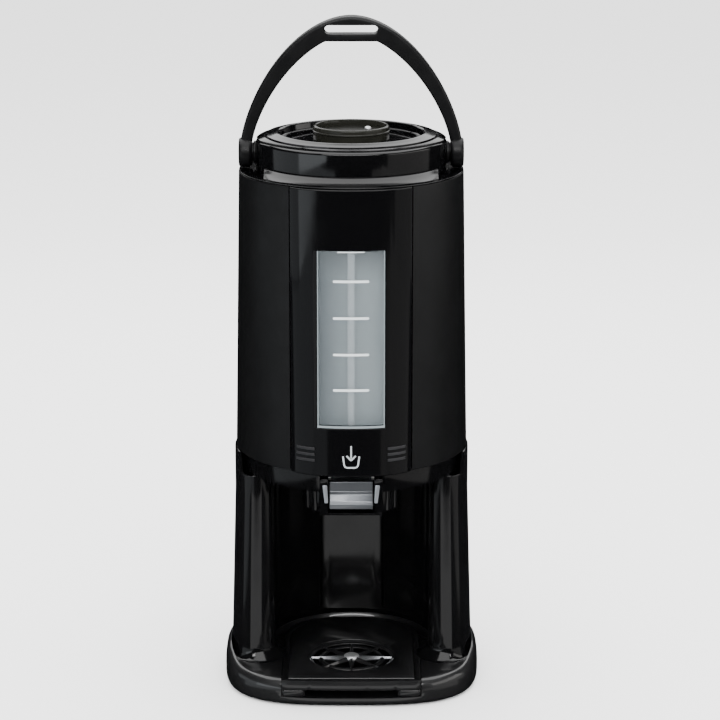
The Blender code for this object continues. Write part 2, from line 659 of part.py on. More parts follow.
def make_valve(plastic, steel, silicone):
    spot = (0, TAP_Y)
    top = 0.2247
    profile = [(0.005, 0.202), (0.014, 0.202), (0.014, top), (0.010, top)]
    profile += [(0.010, VALVE_SEAT), (0.005, VALVE_SEAT)]
    body = turned("valve_body", profile, plastic, spot, segments=24)
    combine(body, tube_cutter("cut_valve_inlet", (0, INLET_Z), 0.0045, -0.036, -0.025, "Y"))
    turned("valve_cap", tube_profile(0.0028, 0.014, 0.2250, 0.2280), plastic, spot, segments=24)

    foot = (0, TAP_Y, VALVE_SEAT)
    seal = [(0, VALVE_SEAT + GAP), (0.0075, VALVE_SEAT + GAP), (0.0075, 0.2083), (0, 0.2083)]
    turned("valve_seal", seal, silicone, spot, segments=20, origin=foot)
    profile = [(0, 0.2086), (0.0065, 0.2086), (0.0065, 0.2106), (0.0025, 0.2106), (0.0025, 0.2350)]
    profile += [(0.0060, 0.2350), (0.0060, 0.2380), (0, 0.2380)]
    turned("valve_plunger", profile, plastic, spot, segments=SMALL_ROUND, origin=foot)
    make_spring("valve_spring", steel, spot, 0.0116, 0.2240)

    profile = [(0.005, 0.184), (0.0074, 0.184), (0.008, 0.186), (0.008, 0.1948), (0.012, 0.1948)]
    profile += [(0.012, 0.198), (0.009, 0.2017), (0.005, 0.2017)]
    turned("spout", profile, plastic, spot, segments=24)


def make_spring(name, steel, centre, height, top):
    """A helix of round wire whose highest wire centre is at the given height."""
    turns, per_turn, sides = 4, 9, 4
    coil_radius, wire_radius = 0.0058, 0.0006
    pitch = height / turns
    up = Vector((0, 0, 1))
    bm = bmesh.new()
    rings = []
    for i in range(turns * per_turn + 1):
        turn = 2 * math.pi * i / per_turn
        out = Vector((math.cos(turn), math.sin(turn), 0))
        middle = Vector((centre[0], centre[1], top - height + pitch * i / per_turn)) + out * coil_radius
        ring = []
        for k in range(sides):
            swing = 2 * math.pi * k / sides
            around = out * math.cos(swing) + up * math.sin(swing)
            ring.append(bm.verts.new(middle + around * wire_radius))
        rings.append(ring)
    for first, second in zip(rings, rings[1:]):
        join_rings(bm, first, second)
    bm.faces.new(rings[0])
    bm.faces.new(rings[-1])
    return add_object(name, bm, steel)


# ---------------------------------------------------------------- assembly


def main():
    for old in list(bpy.data.objects):
        bpy.data.objects.remove(old, do_unlink=True)

    gloss = material("gloss_black", (0.008, 0.008, 0.009), 0.12)
    satin = material("satin_black", (0.012, 0.012, 0.013), 0.40)
    plain = material("inner_plastic", (0.030, 0.030, 0.032), 0.50)
    silver = material("lever_silver", (0.300, 0.320, 0.340), 0.25, 0.6)
    backing = material("gauge_backing", (0.350, 0.410, 0.440), 0.45)
    clear = material("clear_plastic", (0.800, 0.880, 0.900), 0.05, alpha=0.3)
    rubber = material("rubber", (0.020, 0.020, 0.020), 0.80)
    silicone = material("silicone", (0.550, 0.550, 0.530), 0.55)
    steel = material("stainless_steel", (0.600, 0.600, 0.590), 0.28, 1.0)

    make_base(gloss, rubber, steel)
    make_stand(gloss)
    make_tray(gloss, satin)
    make_bottom_cover(gloss)
    make_casing(satin, gloss, clear, backing, silicone)
    make_vessel(steel, silicone, plain)
    make_shoulder(gloss, steel, silicone)
    make_lid(gloss, plain, silicone)
    make_handle(satin)
    make_tap_housing(gloss, steel)
    make_lever(silver)
    make_valve(plain, steel, silicone)


main()
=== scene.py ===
"""Looks for the thermal coffee dispenser: smooth skins, fine edges and materials over the CAD frame.

Lengths are in metres, in the CAD's frame: origin on the table under the vessel, +Z up, the tap looks
along -Y.
"""

import json
import math

import bmesh
import bpy
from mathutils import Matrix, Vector


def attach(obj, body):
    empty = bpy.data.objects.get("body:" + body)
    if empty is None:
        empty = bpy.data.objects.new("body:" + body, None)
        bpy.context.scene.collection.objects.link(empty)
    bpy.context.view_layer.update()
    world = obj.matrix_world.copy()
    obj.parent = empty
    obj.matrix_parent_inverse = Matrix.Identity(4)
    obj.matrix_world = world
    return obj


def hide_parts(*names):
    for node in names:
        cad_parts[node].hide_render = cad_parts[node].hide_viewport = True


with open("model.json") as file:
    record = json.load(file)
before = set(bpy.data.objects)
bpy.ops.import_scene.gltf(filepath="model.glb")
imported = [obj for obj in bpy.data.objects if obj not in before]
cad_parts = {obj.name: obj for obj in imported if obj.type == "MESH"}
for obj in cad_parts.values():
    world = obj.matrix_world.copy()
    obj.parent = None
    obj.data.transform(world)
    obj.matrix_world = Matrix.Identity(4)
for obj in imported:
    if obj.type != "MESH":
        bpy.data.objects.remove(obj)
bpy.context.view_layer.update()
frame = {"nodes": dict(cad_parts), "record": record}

GAP = 0.0003
ROUND = 128
SMALL_ROUND = 48

# Base and stand
BASE_HALF_WIDTH = 0.131
BASE_FRONT = 0.118
BASE_BACK = 0.1243
BASE_UNDERSIDE = 0.0015
DECK_Z = 0.027
RIM_Z = 0.037
BAY_RADIUS = 0.085
COLUMN_WALL = 0.003
COLUMN_FRONT_ANGLE = math.radians(19.8)
COLUMN_TOP = 0.2237
COLUMN_LIP_TOP = 0.2446
FILLET = 0.012

# Drip tray
TRAY_HALF_WIDTH = 0.0705
TRAY_FLOOR = 0.0096
TRAY_BACK = 0.071
DISH_RADIUS = 0.045
TAP_Y = -0.042

# Vessel and casing
CASING_BOTTOM = 0.245
CASING_TOP = 0.529
CASING_RADIUS_LOW = 0.118
CASING_RADIUS_HIGH = 0.1125
CASING_WALL = 0.0025
PANEL_HALF_WIDTH = 0.060
PANEL_FRONT_LOW = 0.1244
PANEL_FRONT_HIGH = 0.1154
WINDOW_HALF_WIDTH = 0.033
WINDOW_BOTTOM = 0.294
WINDOW_TOP = 0.4695
GAUGE_Y = -0.1075
PANEL_WALL = 0.0028
MARK_HEIGHTS = (0.3322, 0.3676, 0.4037, 0.4400)
MARK_HALF_WIDTH = 0.0173
RIB_NEAR = 0.0358
RIB_FAR = 0.0538
RIB_TOP = 0.2725
RIB_PITCH = 0.0058

# Top and tap
PIVOT_Z = 0.546
LEVER_PIVOT_Y = -0.086
LEVER_PIVOT_Z = 0.232
LEVER_HALF_WIDTH = 0.0223
BRACKET_HALF_WIDTH = 0.031

# Camera and surround
CAMERA_PLACE = (0.0087, -2.5, 0.9871)
CAMERA_TILT = math.radians(75.3)
CAMERA_LENS = 126.7
SURROUND = 2.6


# ---------------------------------------------------------------- mesh helpers


def finished(name, bm, finish, sharp=35):
    """A bmesh as an object, shaded smooth except across edges sharper than the angle."""
    bmesh.ops.recalc_face_normals(bm, faces=bm.faces)
    mesh = bpy.data.meshes.new(name)
    bm.to_mesh(mesh)
    bm.free()
    if finish:
        mesh.materials.append(finish)
    mesh.shade_smooth()
    mesh.set_sharp_from_angle(angle=math.radians(sharp))
    piece = bpy.data.objects.new(name, mesh)
    bpy.context.scene.collection.objects.link(piece)
    return piece


def place(piece, body, slot, *nodes):
    """Hangs a piece on a moving body and hides the CAD nodes it replaces. Its slot argument is not used."""
    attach(piece, body)
    if nodes:
        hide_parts(*nodes)
    return piece


def rounded(outline, radius, steps=4):
    """A closed outline with its corners rounded. A third number on a point is that corner's own radius."""
    points = []
    count = len(outline)
    for i, corner in enumerate(outline):
        here = Vector(corner[:2])
        before = Vector(outline[i - 1][:2])
        after = Vector(outline[(i + 1) % count][:2])
        reach = corner[2] if len(corner) > 2 else radius
        reach = min(reach, (before - here).length * 0.48, (after - here).length * 0.48)
        if reach <= 1e-6:
            points.append(tuple(here))
            continue
        start = here + (before - here).normalized() * reach
        end = here + (after - here).normalized() * reach
        for k in range(steps + 1):
            t = k / steps
            spot = start * (1 - t) ** 2 + here * (2 * t * (1 - t)) + end * t**2
            points.append((spot.x, spot.y))
    return points


def bridge(bm, first, second, closed=True):
    count = len(first)
    for i in range(count if closed else count - 1):
        j = (i + 1) % count
        bm.faces.new((first[i], first[j], second[j], second[i]))


def lathe(name, outline, finish, radius=0.0006, centre=(0, 0), axis="Z", segments=ROUND, steps=4):
    """A turned piece. The outline is a closed ring of (radius, height) corners, rounded off."""
    corners = [point if point[0] > 0 else (0, point[1], 0) for point in outline]
    bm = bmesh.new()
    rings = []
    for reach, height in rounded(corners, radius, steps):
        ring = []
        for i in range(segments if reach > 1e-7 else 0):
            turn = 2 * math.pi * (i + 0.5) / segments
            u = centre[0] + reach * math.cos(turn)
            v = centre[1] + reach * math.sin(turn)
            spot = {"Z": (u, v, height), "X": (height, u, v), "Y": (u, height, v)}[axis]
            ring.append(bm.verts.new(spot))
        rings.append(ring)
    for first, second in zip(rings, rings[1:] + rings[:1]):
        if first and second:
            bridge(bm, first, second)
        elif first or second:
            bm.faces.new(first or second)
    return finished(name, bm, finish)


def loft(name, loops, finish, capped=True, looped=False, sharp=35):
    """A skin through closed loops of points."""
    bm = bmesh.new()
    rings = [[bm.verts.new(point) for point in loop] for loop in loops]
    for first, second in zip(rings, rings[1:]):
        bridge(bm, first, second)
    if looped:
        bridge(bm, rings[-1], rings[0])
    elif capped:
        bm.faces.new(rings[0])
        bm.faces.new(rings[-1])
    return finished(name, bm, finish, sharp)


def bevel(piece, width, segments=3, angle=35):
    modifier = piece.modifiers.new("edges", "BEVEL")
    modifier.width = width
    modifier.segments = segments
    modifier.limit_method = "ANGLE"
    modifier.angle_limit = math.radians(angle)
    modifier.harden_normals = True
    return piece


def extruded(name, outline, axis, start, end, finish=None, edge=0.0):
    """A prism. The outline's two coordinates are the other two axes, in X, Y, Z order."""

    def spot(u, v, along):
        return {"X": (along, u, v), "Y": (u, along, v), "Z": (u, v, along)}[axis]

    loops = [[spot(point[0], point[1], along) for point in outline] for along in (start, end)]
    piece = loft(name, loops, finish)
    return bevel(piece, edge) if edge else piece


def block(name, low, high, finish=None, edge=0.0):
    outline = [(low[0], low[1]), (high[0], low[1]), (high[0], high[1]), (low[0], high[1])]
    return extruded(name, outline, "Z", low[2], high[2], finish, edge)


def settle(piece):
    """Applies a piece's modifiers to its mesh."""
    bpy.context.view_layer.update()
    graph = bpy.context.evaluated_depsgraph_get()
    mesh = bpy.data.meshes.new_from_object(piece.evaluated_get(graph))
    piece.modifiers.clear()
    piece.data = mesh
    return piece


def combine(piece, *tools, operation="DIFFERENCE"):
    """Cuts the tools from a piece, or joins them to it, and deletes them."""
    for tool in tools:
        modifier = piece.modifiers.new("cut", "BOOLEAN")
        modifier.operation = operation
        modifier.solver = "EXACT"
        modifier.object = tool
    settle(piece)
    for tool in tools:
        bpy.data.objects.remove(tool)
    piece.data.shade_smooth()
    piece.data.set_sharp_from_angle(angle=math.radians(35))
    return piece


def joined(name, pieces):
    """Several meshes as one object, in place. Their modifiers are applied first."""
    bm = bmesh.new()
    finishes = []
    for piece in pieces:
        settle(piece)
        start = len(bm.faces)
        bm.from_mesh(piece.data)
        bm.faces.ensure_lookup_table()
        finish = piece.data.materials[0]
        if finish not in finishes:
            finishes.append(finish)
        for face in bm.faces[start:]:
            face.material_index = finishes.index(finish)
        bpy.data.objects.remove(piece)
    mesh = bpy.data.meshes.new(name)
    bm.to_mesh(mesh)
    bm.free()
    for finish in finishes:
        mesh.materials.append(finish)
    mesh.shade_smooth()
    mesh.set_sharp_from_angle(angle=math.radians(35))
    whole = bpy.data.objects.new(name, mesh)
    bpy.context.scene.collection.objects.link(whole)
    return whole


def drum(name, centre, radius, low, high, axis="Z", segments=SMALL_ROUND):
    """A plain cylinder, used as a cutting tool."""
    outline = [(0, low), (radius, low), (radius, high), (0, high)]
    return lathe(name, outline, None, 0, centre, axis, segments, 1)


def mix(low, high, share):
    return low + (high - low) * share


def ease(share):
    share = min(max(share, 0.0), 1.0)
    return share * share * (3 - 2 * share)


# ---------------------------------------------------------------- materials


class Finish:
    """A material with one Principled shader, and short calls that add to it."""

    def __init__(self, name, colour, roughness, metallic=0.0, **sockets):
        self.material = bpy.data.materials.new(name)
        self.material.use_nodes = True
        self.nodes = self.material.node_tree.nodes
        self.links = self.material.node_tree.links
        self.shader = self.nodes["Principled BSDF"]
        self.set("Base Color", (*colour, 1.0))
        self.set("Roughness", roughness)
        self.set("Metallic", metallic)
        for socket, value in sockets.items():
            self.set(socket.replace("_", " "), value)
        self.place = self.nodes.new("ShaderNodeTexCoord").outputs["Object"]

    def set(self, socket, value):
        self.shader.inputs[socket].default_value = value

    def noise(self, scale, detail=2.0, stretch=(1, 1, 1)):
        """A noise from 0 to 1 with this many features to the metre."""
        mapping = self.nodes.new("ShaderNodeMapping")
        mapping.inputs["Scale"].default_value = stretch
        self.links.new(self.place, mapping.inputs["Vector"])
        noise = self.nodes.new("ShaderNodeTexNoise")
        noise.inputs["Scale"].default_value = scale
        noise.inputs["Detail"].default_value = detail
        self.links.new(mapping.outputs["Vector"], noise.inputs["Vector"])
        return noise.outputs["Fac"]

    def ramp(self, value, low, high, start=0.35, end=0.65):
        """Maps a value from start..end to low..high, both numbers."""
        node = self.nodes.new("ShaderNodeMapRange")
        for socket, number in zip(("From Min", "From Max", "To Min", "To Max"), (start, end, low, high)):
            node.inputs[socket].default_value = number
        self.links.new(value, node.inputs["Value"])
        return node.outputs["Result"]

    def blend(self, value, first, second):
        """A colour between two, by a value from 0 to 1."""
        node = self.nodes.new("ShaderNodeMix")
        node.data_type = "RGBA"
        node.inputs["A"].default_value = (*first, 1)
        node.inputs["B"].default_value = (*second, 1)
        self.links.new(value, node.inputs["Factor"])
        return node.outputs["Result"]

    def use(self, output, socket):
        self.links.new(output, self.shader.inputs[socket])

    def bump(self, *layers):
        """Height layers, each a value with its depth in metres, laid over each other."""
        normal = None
        for value, depth in layers:
            node = self.nodes.new("ShaderNodeBump")
            node.inputs["Strength"].default_value = 1.0
            node.inputs["Distance"].default_value = depth
            self.links.new(value, node.inputs["Height"])
            if normal:
                self.links.new(normal, node.inputs["Normal"])
            normal = node.outputs["Normal"]
        self.links.new(normal, self.shader.inputs["Normal"])


def gloss_plastic(name, colour, roughness, shine=0.5):
    """Polished moulded plastic: a very slight waviness, and haze where it has been wiped."""
    finish = Finish(name, colour, roughness, Specular_IOR_Level=shine)
    finish.use(finish.ramp(finish.noise(22, 4), roughness * 0.75, roughness * 1.5), "Roughness")
    finish.bump((finish.noise(70, 1), 0.00002), (finish.noise(1400, 2), 0.0000015))
    return finish.material


def polished_plastic(name, colour, roughness):
    """Moulded plastic with a soft sheen, under a clear polish."""
    finish = Finish(name, colour, roughness, Coat_Weight=0.8, Coat_Roughness=0.07, Specular_IOR_Level=0.38)
    finish.use(finish.ramp(finish.noise(30, 4), roughness * 0.85, roughness * 1.2), "Roughness")
    finish.bump((finish.noise(80, 1), 0.00002), (finish.noise(1500, 2), 0.000004))
    return finish.material


def satin_plastic(name, colour, roughness, grain=0.00002, scale=1500):
    """Fine-grained moulded plastic, whose grain keeps its shine low."""
    finish = Finish(name, colour, roughness, Specular_IOR_Level=0.26)
    lighter = tuple(min(c * 1.2, 1) for c in colour)
    finish.use(finish.blend(finish.ramp(finish.noise(35, 5), 0, 1), colour, lighter), "Base Color")
    finish.use(finish.ramp(finish.noise(60, 4), roughness * 0.9, roughness * 1.12), "Roughness")
    finish.bump((finish.noise(scale, 3), grain))
    return finish.material


def brushed_steel(name, colour, roughness, stretch):
    finish = Finish(name, colour, roughness, 1.0)
    lines = finish.noise(900, 3, stretch)
    finish.use(finish.ramp(lines, roughness * 0.7, roughness * 1.4), "Roughness")
    finish.bump((lines, 0.00001))
    return finish.material


def rubber_like(name, colour, roughness):
    finish = Finish(name, colour, roughness)
    finish.use(finish.ramp(finish.noise(200, 4), roughness * 0.85, min(roughness * 1.15, 1)), "Roughness")
    finish.bump((finish.noise(1100, 3), 0.00004))
    return finish.material


def flaked_silver(name, tone):
    """Metallic-flaked silver plastic under a clear coat."""
    colour = (tone * 0.94, tone, tone * 1.08)
    finish = Finish(name, colour, 0.30, 0.8, Coat_Weight=0.4, Coat_Roughness=0.08)
    flakes = finish.noise(5200, 1)
    darker, lighter = (tuple(share * part for part in colour) for share in (0.94, 1.08))
    finish.use(finish.blend(finish.ramp(flakes, 0, 1), darker, lighter), "Base Color")
    finish.use(finish.ramp(finish.noise(90, 3), 0.28, 0.33), "Roughness")
    finish.bump((flakes, 0.0000006))
    return finish.material


def gauge_white():
    """The gauge's pale backing, with painted shade: darker down its left side and at its top, where the
    opening shades it.
    """
    finish = Finish("gauge_backing", (0.12, 0.15, 0.16), 0.42)
    split = finish.nodes.new("ShaderNodeSeparateXYZ")
    finish.links.new(finish.place, split.inputs["Vector"])
    # Painted shade: the backing's colour darkens towards its left side.
    side = finish.ramp(split.outputs["X"], 0, 1, -0.028, -0.004)
    across = finish.blend(side, (0.024, 0.033, 0.040), (0.100, 0.123, 0.130))
    # Painted shade: the colour darkens again towards the top of the backing.
    shaded = finish.nodes.new("ShaderNodeMix")
    shaded.data_type = "RGBA"
    shaded.inputs["B"].default_value = (0.010, 0.014, 0.016, 1)
    finish.links.new(across, shaded.inputs["A"])
    finish.links.new(finish.ramp(split.outputs["Z"], 0, 0.85, 0.438, 0.468), shaded.inputs["Factor"])
    finish.use(shaded.outputs["Result"], "Base Color")
    finish.use(finish.ramp(finish.noise(120, 3), 0.36, 0.48), "Roughness")
    finish.bump((finish.noise(1600, 2), 0.000002))
    return finish.material


def clear_plastic(name, alpha, roughness, tint):
    finish = Finish(name, tint, roughness, Alpha=alpha)
    finish.use(finish.ramp(finish.noise(30, 3), roughness * 0.7, roughness * 1.6), "Roughness")
    finish.bump((finish.noise(60, 1), 0.00002))
    return finish.material


def printed(name, colour):
    finish = Finish(name, colour, 0.5)
    finish.use(finish.ramp(finish.noise(900, 2), 0.42, 0.58), "Roughness")
    finish.bump((finish.noise(2500, 2), 0.000008))
    return finish.material


GLOSS = gloss_plastic("gloss_black", (0.0014, 0.0014, 0.0016), 0.10)
BASE_GLOSS = polished_plastic("base_gloss_black", (0.0048, 0.0048, 0.0052), 0.36)
STAND_GLOSS = gloss_plastic("stand_gloss_black", (0.0019, 0.0019, 0.0021), 0.10)
# Painted highlight: light brushed metal on the two side spokes of the grille's star, so that they look lit;
# the other spokes stay black.
WING_PAINTED_HIGHLIGHT = brushed_steel("wing_painted_highlight", (0.42, 0.43, 0.45), 0.36, (1, 8, 8))
SATIN = satin_plastic("satin_black", (0.0028, 0.0029, 0.0032), 0.42)
HANDLE_SATIN = satin_plastic("handle_satin_black", (0.0024, 0.0024, 0.0027), 0.36, 0.000015, 1800)
# Painted reflection: the funnel bowl is made satin and given the dark olive grey that its glossy face
# reflects.
BOWL_PAINTED_REFLECTION = satin_plastic("bowl_painted_reflection", (0.007, 0.007, 0.0055), 0.38)
RIM_SATIN = satin_plastic("rim_satin", (0.010, 0.010, 0.008), 0.20)
RIB_SATIN = satin_plastic("rib_satin", (0.011, 0.011, 0.012), 0.34)
DISH_GLOSS = gloss_plastic("dish_gloss_black", (0.0014, 0.0014, 0.0016), 0.04, 0.25)
PANEL_GLOSS = gloss_plastic("panel_gloss_black", (0.0014, 0.0014, 0.0016), 0.085, 0.30)
PLAIN = satin_plastic("inner_plastic", (0.008, 0.008, 0.0085), 0.5, 0.00003, 900)
RUBBER = rubber_like("rubber", (0.015, 0.015, 0.015), 0.8)
SILICONE = rubber_like("silicone", (0.5, 0.5, 0.48), 0.5)
STEEL = brushed_steel("stainless_steel", (0.56, 0.56, 0.55), 0.28, (1, 1, 12))
TURNED_STEEL = brushed_steel("turned_steel", (0.6, 0.6, 0.59), 0.24, (12, 12, 1))
SILVER = flaked_silver("lever_silver", 0.13)
# Painted highlight: a lighter copy of the lever's silver, so that the bracket's cheeks look lit.
CHEEK_PAINTED_HIGHLIGHT = flaked_silver("bracket_painted_highlight", 0.35)
# Painted highlight: near-white metal, so that the grille's centre dome and a small knob in the lid's bowl
# show as white glints.
PAINTED_GLINT_METAL = brushed_steel("painted_glint_metal", (0.93, 0.94, 0.95), 0.50, (8, 8, 1))
BACKING = gauge_white()
WINDOW_CLEAR = clear_plastic("window_clear", 0.08, 0.05, (0.28, 0.32, 0.34))
TUBE_CLEAR = clear_plastic("tube_clear", 0.22, 0.06, (0.40, 0.45, 0.47))
# Pale lines along the window's edges; the one along its sill is a painted highlight.
PANE_EDGE = printed("pane_edge", (0.13, 0.155, 0.165))
INK_WHITE = printed("ink_white", (0.48, 0.51, 0.52))
INK_GREY = printed("ink_grey", (0.27, 0.29, 0.30))


# ---------------------------------------------------------------- outlines


def power_point(half_x, half_y, turn, power):
    """The point of a superellipse at a turn; power 2 is an ellipse and more is squarer."""
    cosine, sine = math.cos(turn), math.sin(turn)
    x = math.copysign(half_x * abs(cosine) ** (2 / power), cosine)
    y = math.copysign(half_y * abs(sine) ** (2 / power), sine)
    return x, y


def base_outline(inset, count=200):
    points = []
    for i in range(count):
        turn = 2 * math.pi * (i + 0.5) / count
        behind = math.sin(turn) > 0
        depth = BASE_BACK if behind else BASE_FRONT
        power = 2.0 if behind else 3.2
        points.append(power_point(BASE_HALF_WIDTH - inset, depth - inset, turn, power))
    return points


def rise(y):
    """0 where the base's edge is low, in front, and 1 where it is high, beside the column."""
    return ease((y + 0.088) / 0.066)


def tray_outline(clearance, front, count=48):
    half = TRAY_HALF_WIDTH + clearance
    start = 0.005
    points = [(half, front), (half, start)]
    for i in range(1, count):
        x, y = power_point(half, TRAY_BACK - start + clearance, math.pi * i / count, 2.4)
        points.append((x, y + start))
    return points + [(-half, start), (-half, front)]


def casing_radius(z):
    """The casing tapers a little towards its top."""
    return mix(CASING_RADIUS_LOW, CASING_RADIUS_HIGH, (z - CASING_BOTTOM) / (CASING_TOP - CASING_BOTTOM))


def panel_front(x, z):
    """Y of the front panel's outer face."""
    share = (z - CASING_BOTTOM) / (CASING_TOP - CASING_BOTTOM)
    middle = mix(PANEL_FRONT_LOW, PANEL_FRONT_HIGH, share)
    seam = math.sqrt(casing_radius(z) ** 2 - PANEL_HALF_WIDTH**2) + 0.0014
    across = abs(x) / PANEL_HALF_WIDTH
    return -middle + 0.0120 * across**2 + (middle - seam - 0.0120) * across**6


# ---------------------------------------------------------------- base and stand


def bay_groove():
    """The cut that lets the deck fall away behind the tray: a curved face, deepest at the back."""
    steps, count = 8, 160
    face = [(0.0854, DECK_Z + 0.0012)]
    for k in range(steps):
        turn = math.radians(mix(55, 86, k / (steps - 1)))
        reach, height = face[-1]
        face.append((reach - 0.0021 * math.cos(turn), height - 0.0021 * math.sin(turn)))
    rings = [[] for _ in range(len(face) + 2)]
    for i in range(count):
        turn = 2 * math.pi * (i + 0.5) / count
        depth = 0.06 + 0.94 * max(math.sin(turn), 0) ** 0.7
        levels = [(face[0][0], 0.06)]
        for reach, height in face:
            levels.append((mix(face[0][0], reach, depth), mix(face[0][1], height, depth)))
        levels.append((0.040, levels[-1][1]))
        for ring, (reach, height) in zip(rings, levels):
            ring.append((reach * math.cos(turn), reach * math.sin(turn), height))
    return loft("groove", rings, BASE_GLOSS)


def make_base():
    loops = []

    def level(share, inset, inset_high):
        loop = []
        for x, y in base_outline(0):
            lift = rise(y)
            top = mix(DECK_Z, RIM_Z, lift)
            pull = mix(inset, inset_high, lift)
            scale_x = (BASE_HALF_WIDTH - pull) / BASE_HALF_WIDTH
            depth = BASE_BACK if y > 0 else BASE_FRONT
            scale_y = (depth - pull) / depth
            loop.append((x * scale_x, y * scale_y, mix(BASE_UNDERSIDE, top, share)))
        loops.append(loop)

    def flat(z, inset):
        loops.append([(x, y, z) for x, y in base_outline(inset)])

    flat(0.0080, 0.0066)
    flat(BASE_UNDERSIDE + 0.0002, 0.0064)
    flat(BASE_UNDERSIDE, 0.0058)
    for i in range(9):
        turn = math.pi / 2 * i / 8
        tuck = 0.0036 * (1 - math.sin(turn))
        level(0.20 * (1 - math.cos(turn)), tuck, tuck)
    for i in range(15):
        turn = math.pi / 2 * i / 14
        level(0.46 + 0.54 * math.sin(turn), 0.0084 * (1 - math.cos(turn)), 0.0058 * (1 - math.cos(turn)))
    deck = [(x, y, DECK_Z) for x, y, _ in loops[-1]]
    last = loops[-1]
    loops.append([(x * 0.9985, y * 0.9985, mix(z, DECK_Z, 0.04)) for x, y, z in last])
    loops.append([(x * 0.9965, y * 0.9965, DECK_Z) for x, y, z in deck])
    shell = loft("foot_shell", loops, BASE_GLOSS)
    combine(shell, extruded("pocket", tray_outline(GAP, -0.14), "Z", TRAY_FLOOR, 0.06), bay_groove())
    bevel(shell, 0.0009, 3, 50)
    place(shell, "stand", "gloss_black", "base_shell")

    outline = [(0, 0), (0.0090, 0), (0.0100, 0.0012), (0.0100, 0.0019), (0, 0.0019)]
    for side_name, side in (("left", -1), ("right", 1)):
        for end_name, x, y in (("front", 0.098, -0.068), ("rear", 0.086, 0.066)):
            name = f"foot_{end_name}_{side_name}"
            foot = lathe(f"rubber_{name}", outline, RUBBER, 0.0004, (side * x, y), segments=40)
            place(foot, "stand", "rubber", name)


def column_loop(z, wall, top_share=None):
    """The stand's horseshoe in plan. With a top share, heights run from z up to each point's own top."""
    share = (z - DECK_Z) / (COLUMN_LIP_TOP - DECK_Z)
    half = mix(0.1249, 0.1183, share)
    depth = mix(0.1184, 0.1178, share)
    above = max(z - DECK_Z - GAP, 0)
    flare = 0.0
    if above < FILLET:
        flare = FILLET - math.sqrt(FILLET**2 - (FILLET - above) ** 2)
    nose_radius = (half - BAY_RADIUS) / 2
    nose_centre = (half + BAY_RADIUS) / 2
    first, last = -COLUMN_FRONT_ANGLE, math.pi + COLUMN_FRONT_ANGLE
    points = []

    def add(x, y, top):
        height = z if top_share is None else mix(z, top, top_share)
        points.append((x, y, height))

    count = 90
    for i in range(count + 1):
        turn = mix(first, last, i / count)
        near_end = 1 - min(turn - first, last - turn) / math.radians(26)
        spread = 0.28 * flare * max(near_end, 0)
        reach_y = depth if math.sin(turn) > 0 else half
        top = COLUMN_LIP_TOP if 0 < i < count else COLUMN_TOP
        add((half - wall + spread) * math.cos(turn), (reach_y - wall + spread) * math.sin(turn), top)
    nose_steps = 20
    for end, order in ((last, 1), (first, -1)):
        middle = Vector((math.cos(end), math.sin(end))) * nose_centre
        out = Vector((math.cos(end), math.sin(end)))
        ahead = Vector((-out.y, out.x)) * order
        for i in range(1, nose_steps):
            swing = math.pi * (i if order > 0 else nose_steps - i) / nose_steps
            weight = mix(0.28, 1.0, ease(swing / (math.pi * 0.6)))
            reach = nose_radius - wall + flare * weight
            spot = middle + out * reach * math.cos(swing) + ahead * reach * math.sin(swing)
            add(spot.x, spot.y, COLUMN_TOP)
        if order > 0:
            inner_steps = 76
            for i in range(inner_steps + 1):
                turn = mix(last, first, i / inner_steps)
                near_end = 1 - min(turn - first, last - turn) / math.radians(24)
                reach = BAY_RADIUS + wall - flare * max(near_end, 0) ** 2
                add(reach * math.cos(turn), reach * math.sin(turn), COLUMN_TOP)
    return points


def make_stand():
    low = DECK_Z + GAP
    loops = []
    for i in range(9):
        loops.append(column_loop(low + FILLET * (1 - math.cos(math.pi / 2 * i / 8)), 0))
    for z in (0.040, 0.060, 0.100, 0.150, 0.200):
        loops.append(column_loop(z, 0))
    rims = [(0.94, 0.0), (0.975, 0.0001), (0.993, 0.0004), (1.0, 0.0009), (1.0, COLUMN_WALL - 0.0006)]
    rims += [(0.985, COLUMN_WALL)]
    for top_share, wall in rims:
        loops.append(column_loop(0.200, wall, top_share))
    loops.append(column_loop(0.200, COLUMN_WALL))
    loops.append(column_loop(low + FILLET, COLUMN_WALL))
    loops.append(column_loop(low, COLUMN_WALL + 0.0001))
    column = loft("stand_skin", loops, STAND_GLOSS, looped=True)
    place(column, "stand", "gloss_black", "stand_column")

    outline = [(-0.0318, 0.0778), (-0.0322, 0.0752, 0.0006), (-0.0235, 0.0736, 0.009)]
    outline += [(0.0235, 0.0736, 0.009), (0.0322, 0.0752, 0.0006), (0.0318, 0.0778)]
    outline = rounded(outline + [(0.030, 0.0789), (-0.030, 0.0789)], 0.0005, 8)
    spine = extruded("spine_strip", outline, "Z", 0.0358, 0.2232, STAND_GLOSS)
    place(spine, "stand", "gloss_black", "spine_cover")


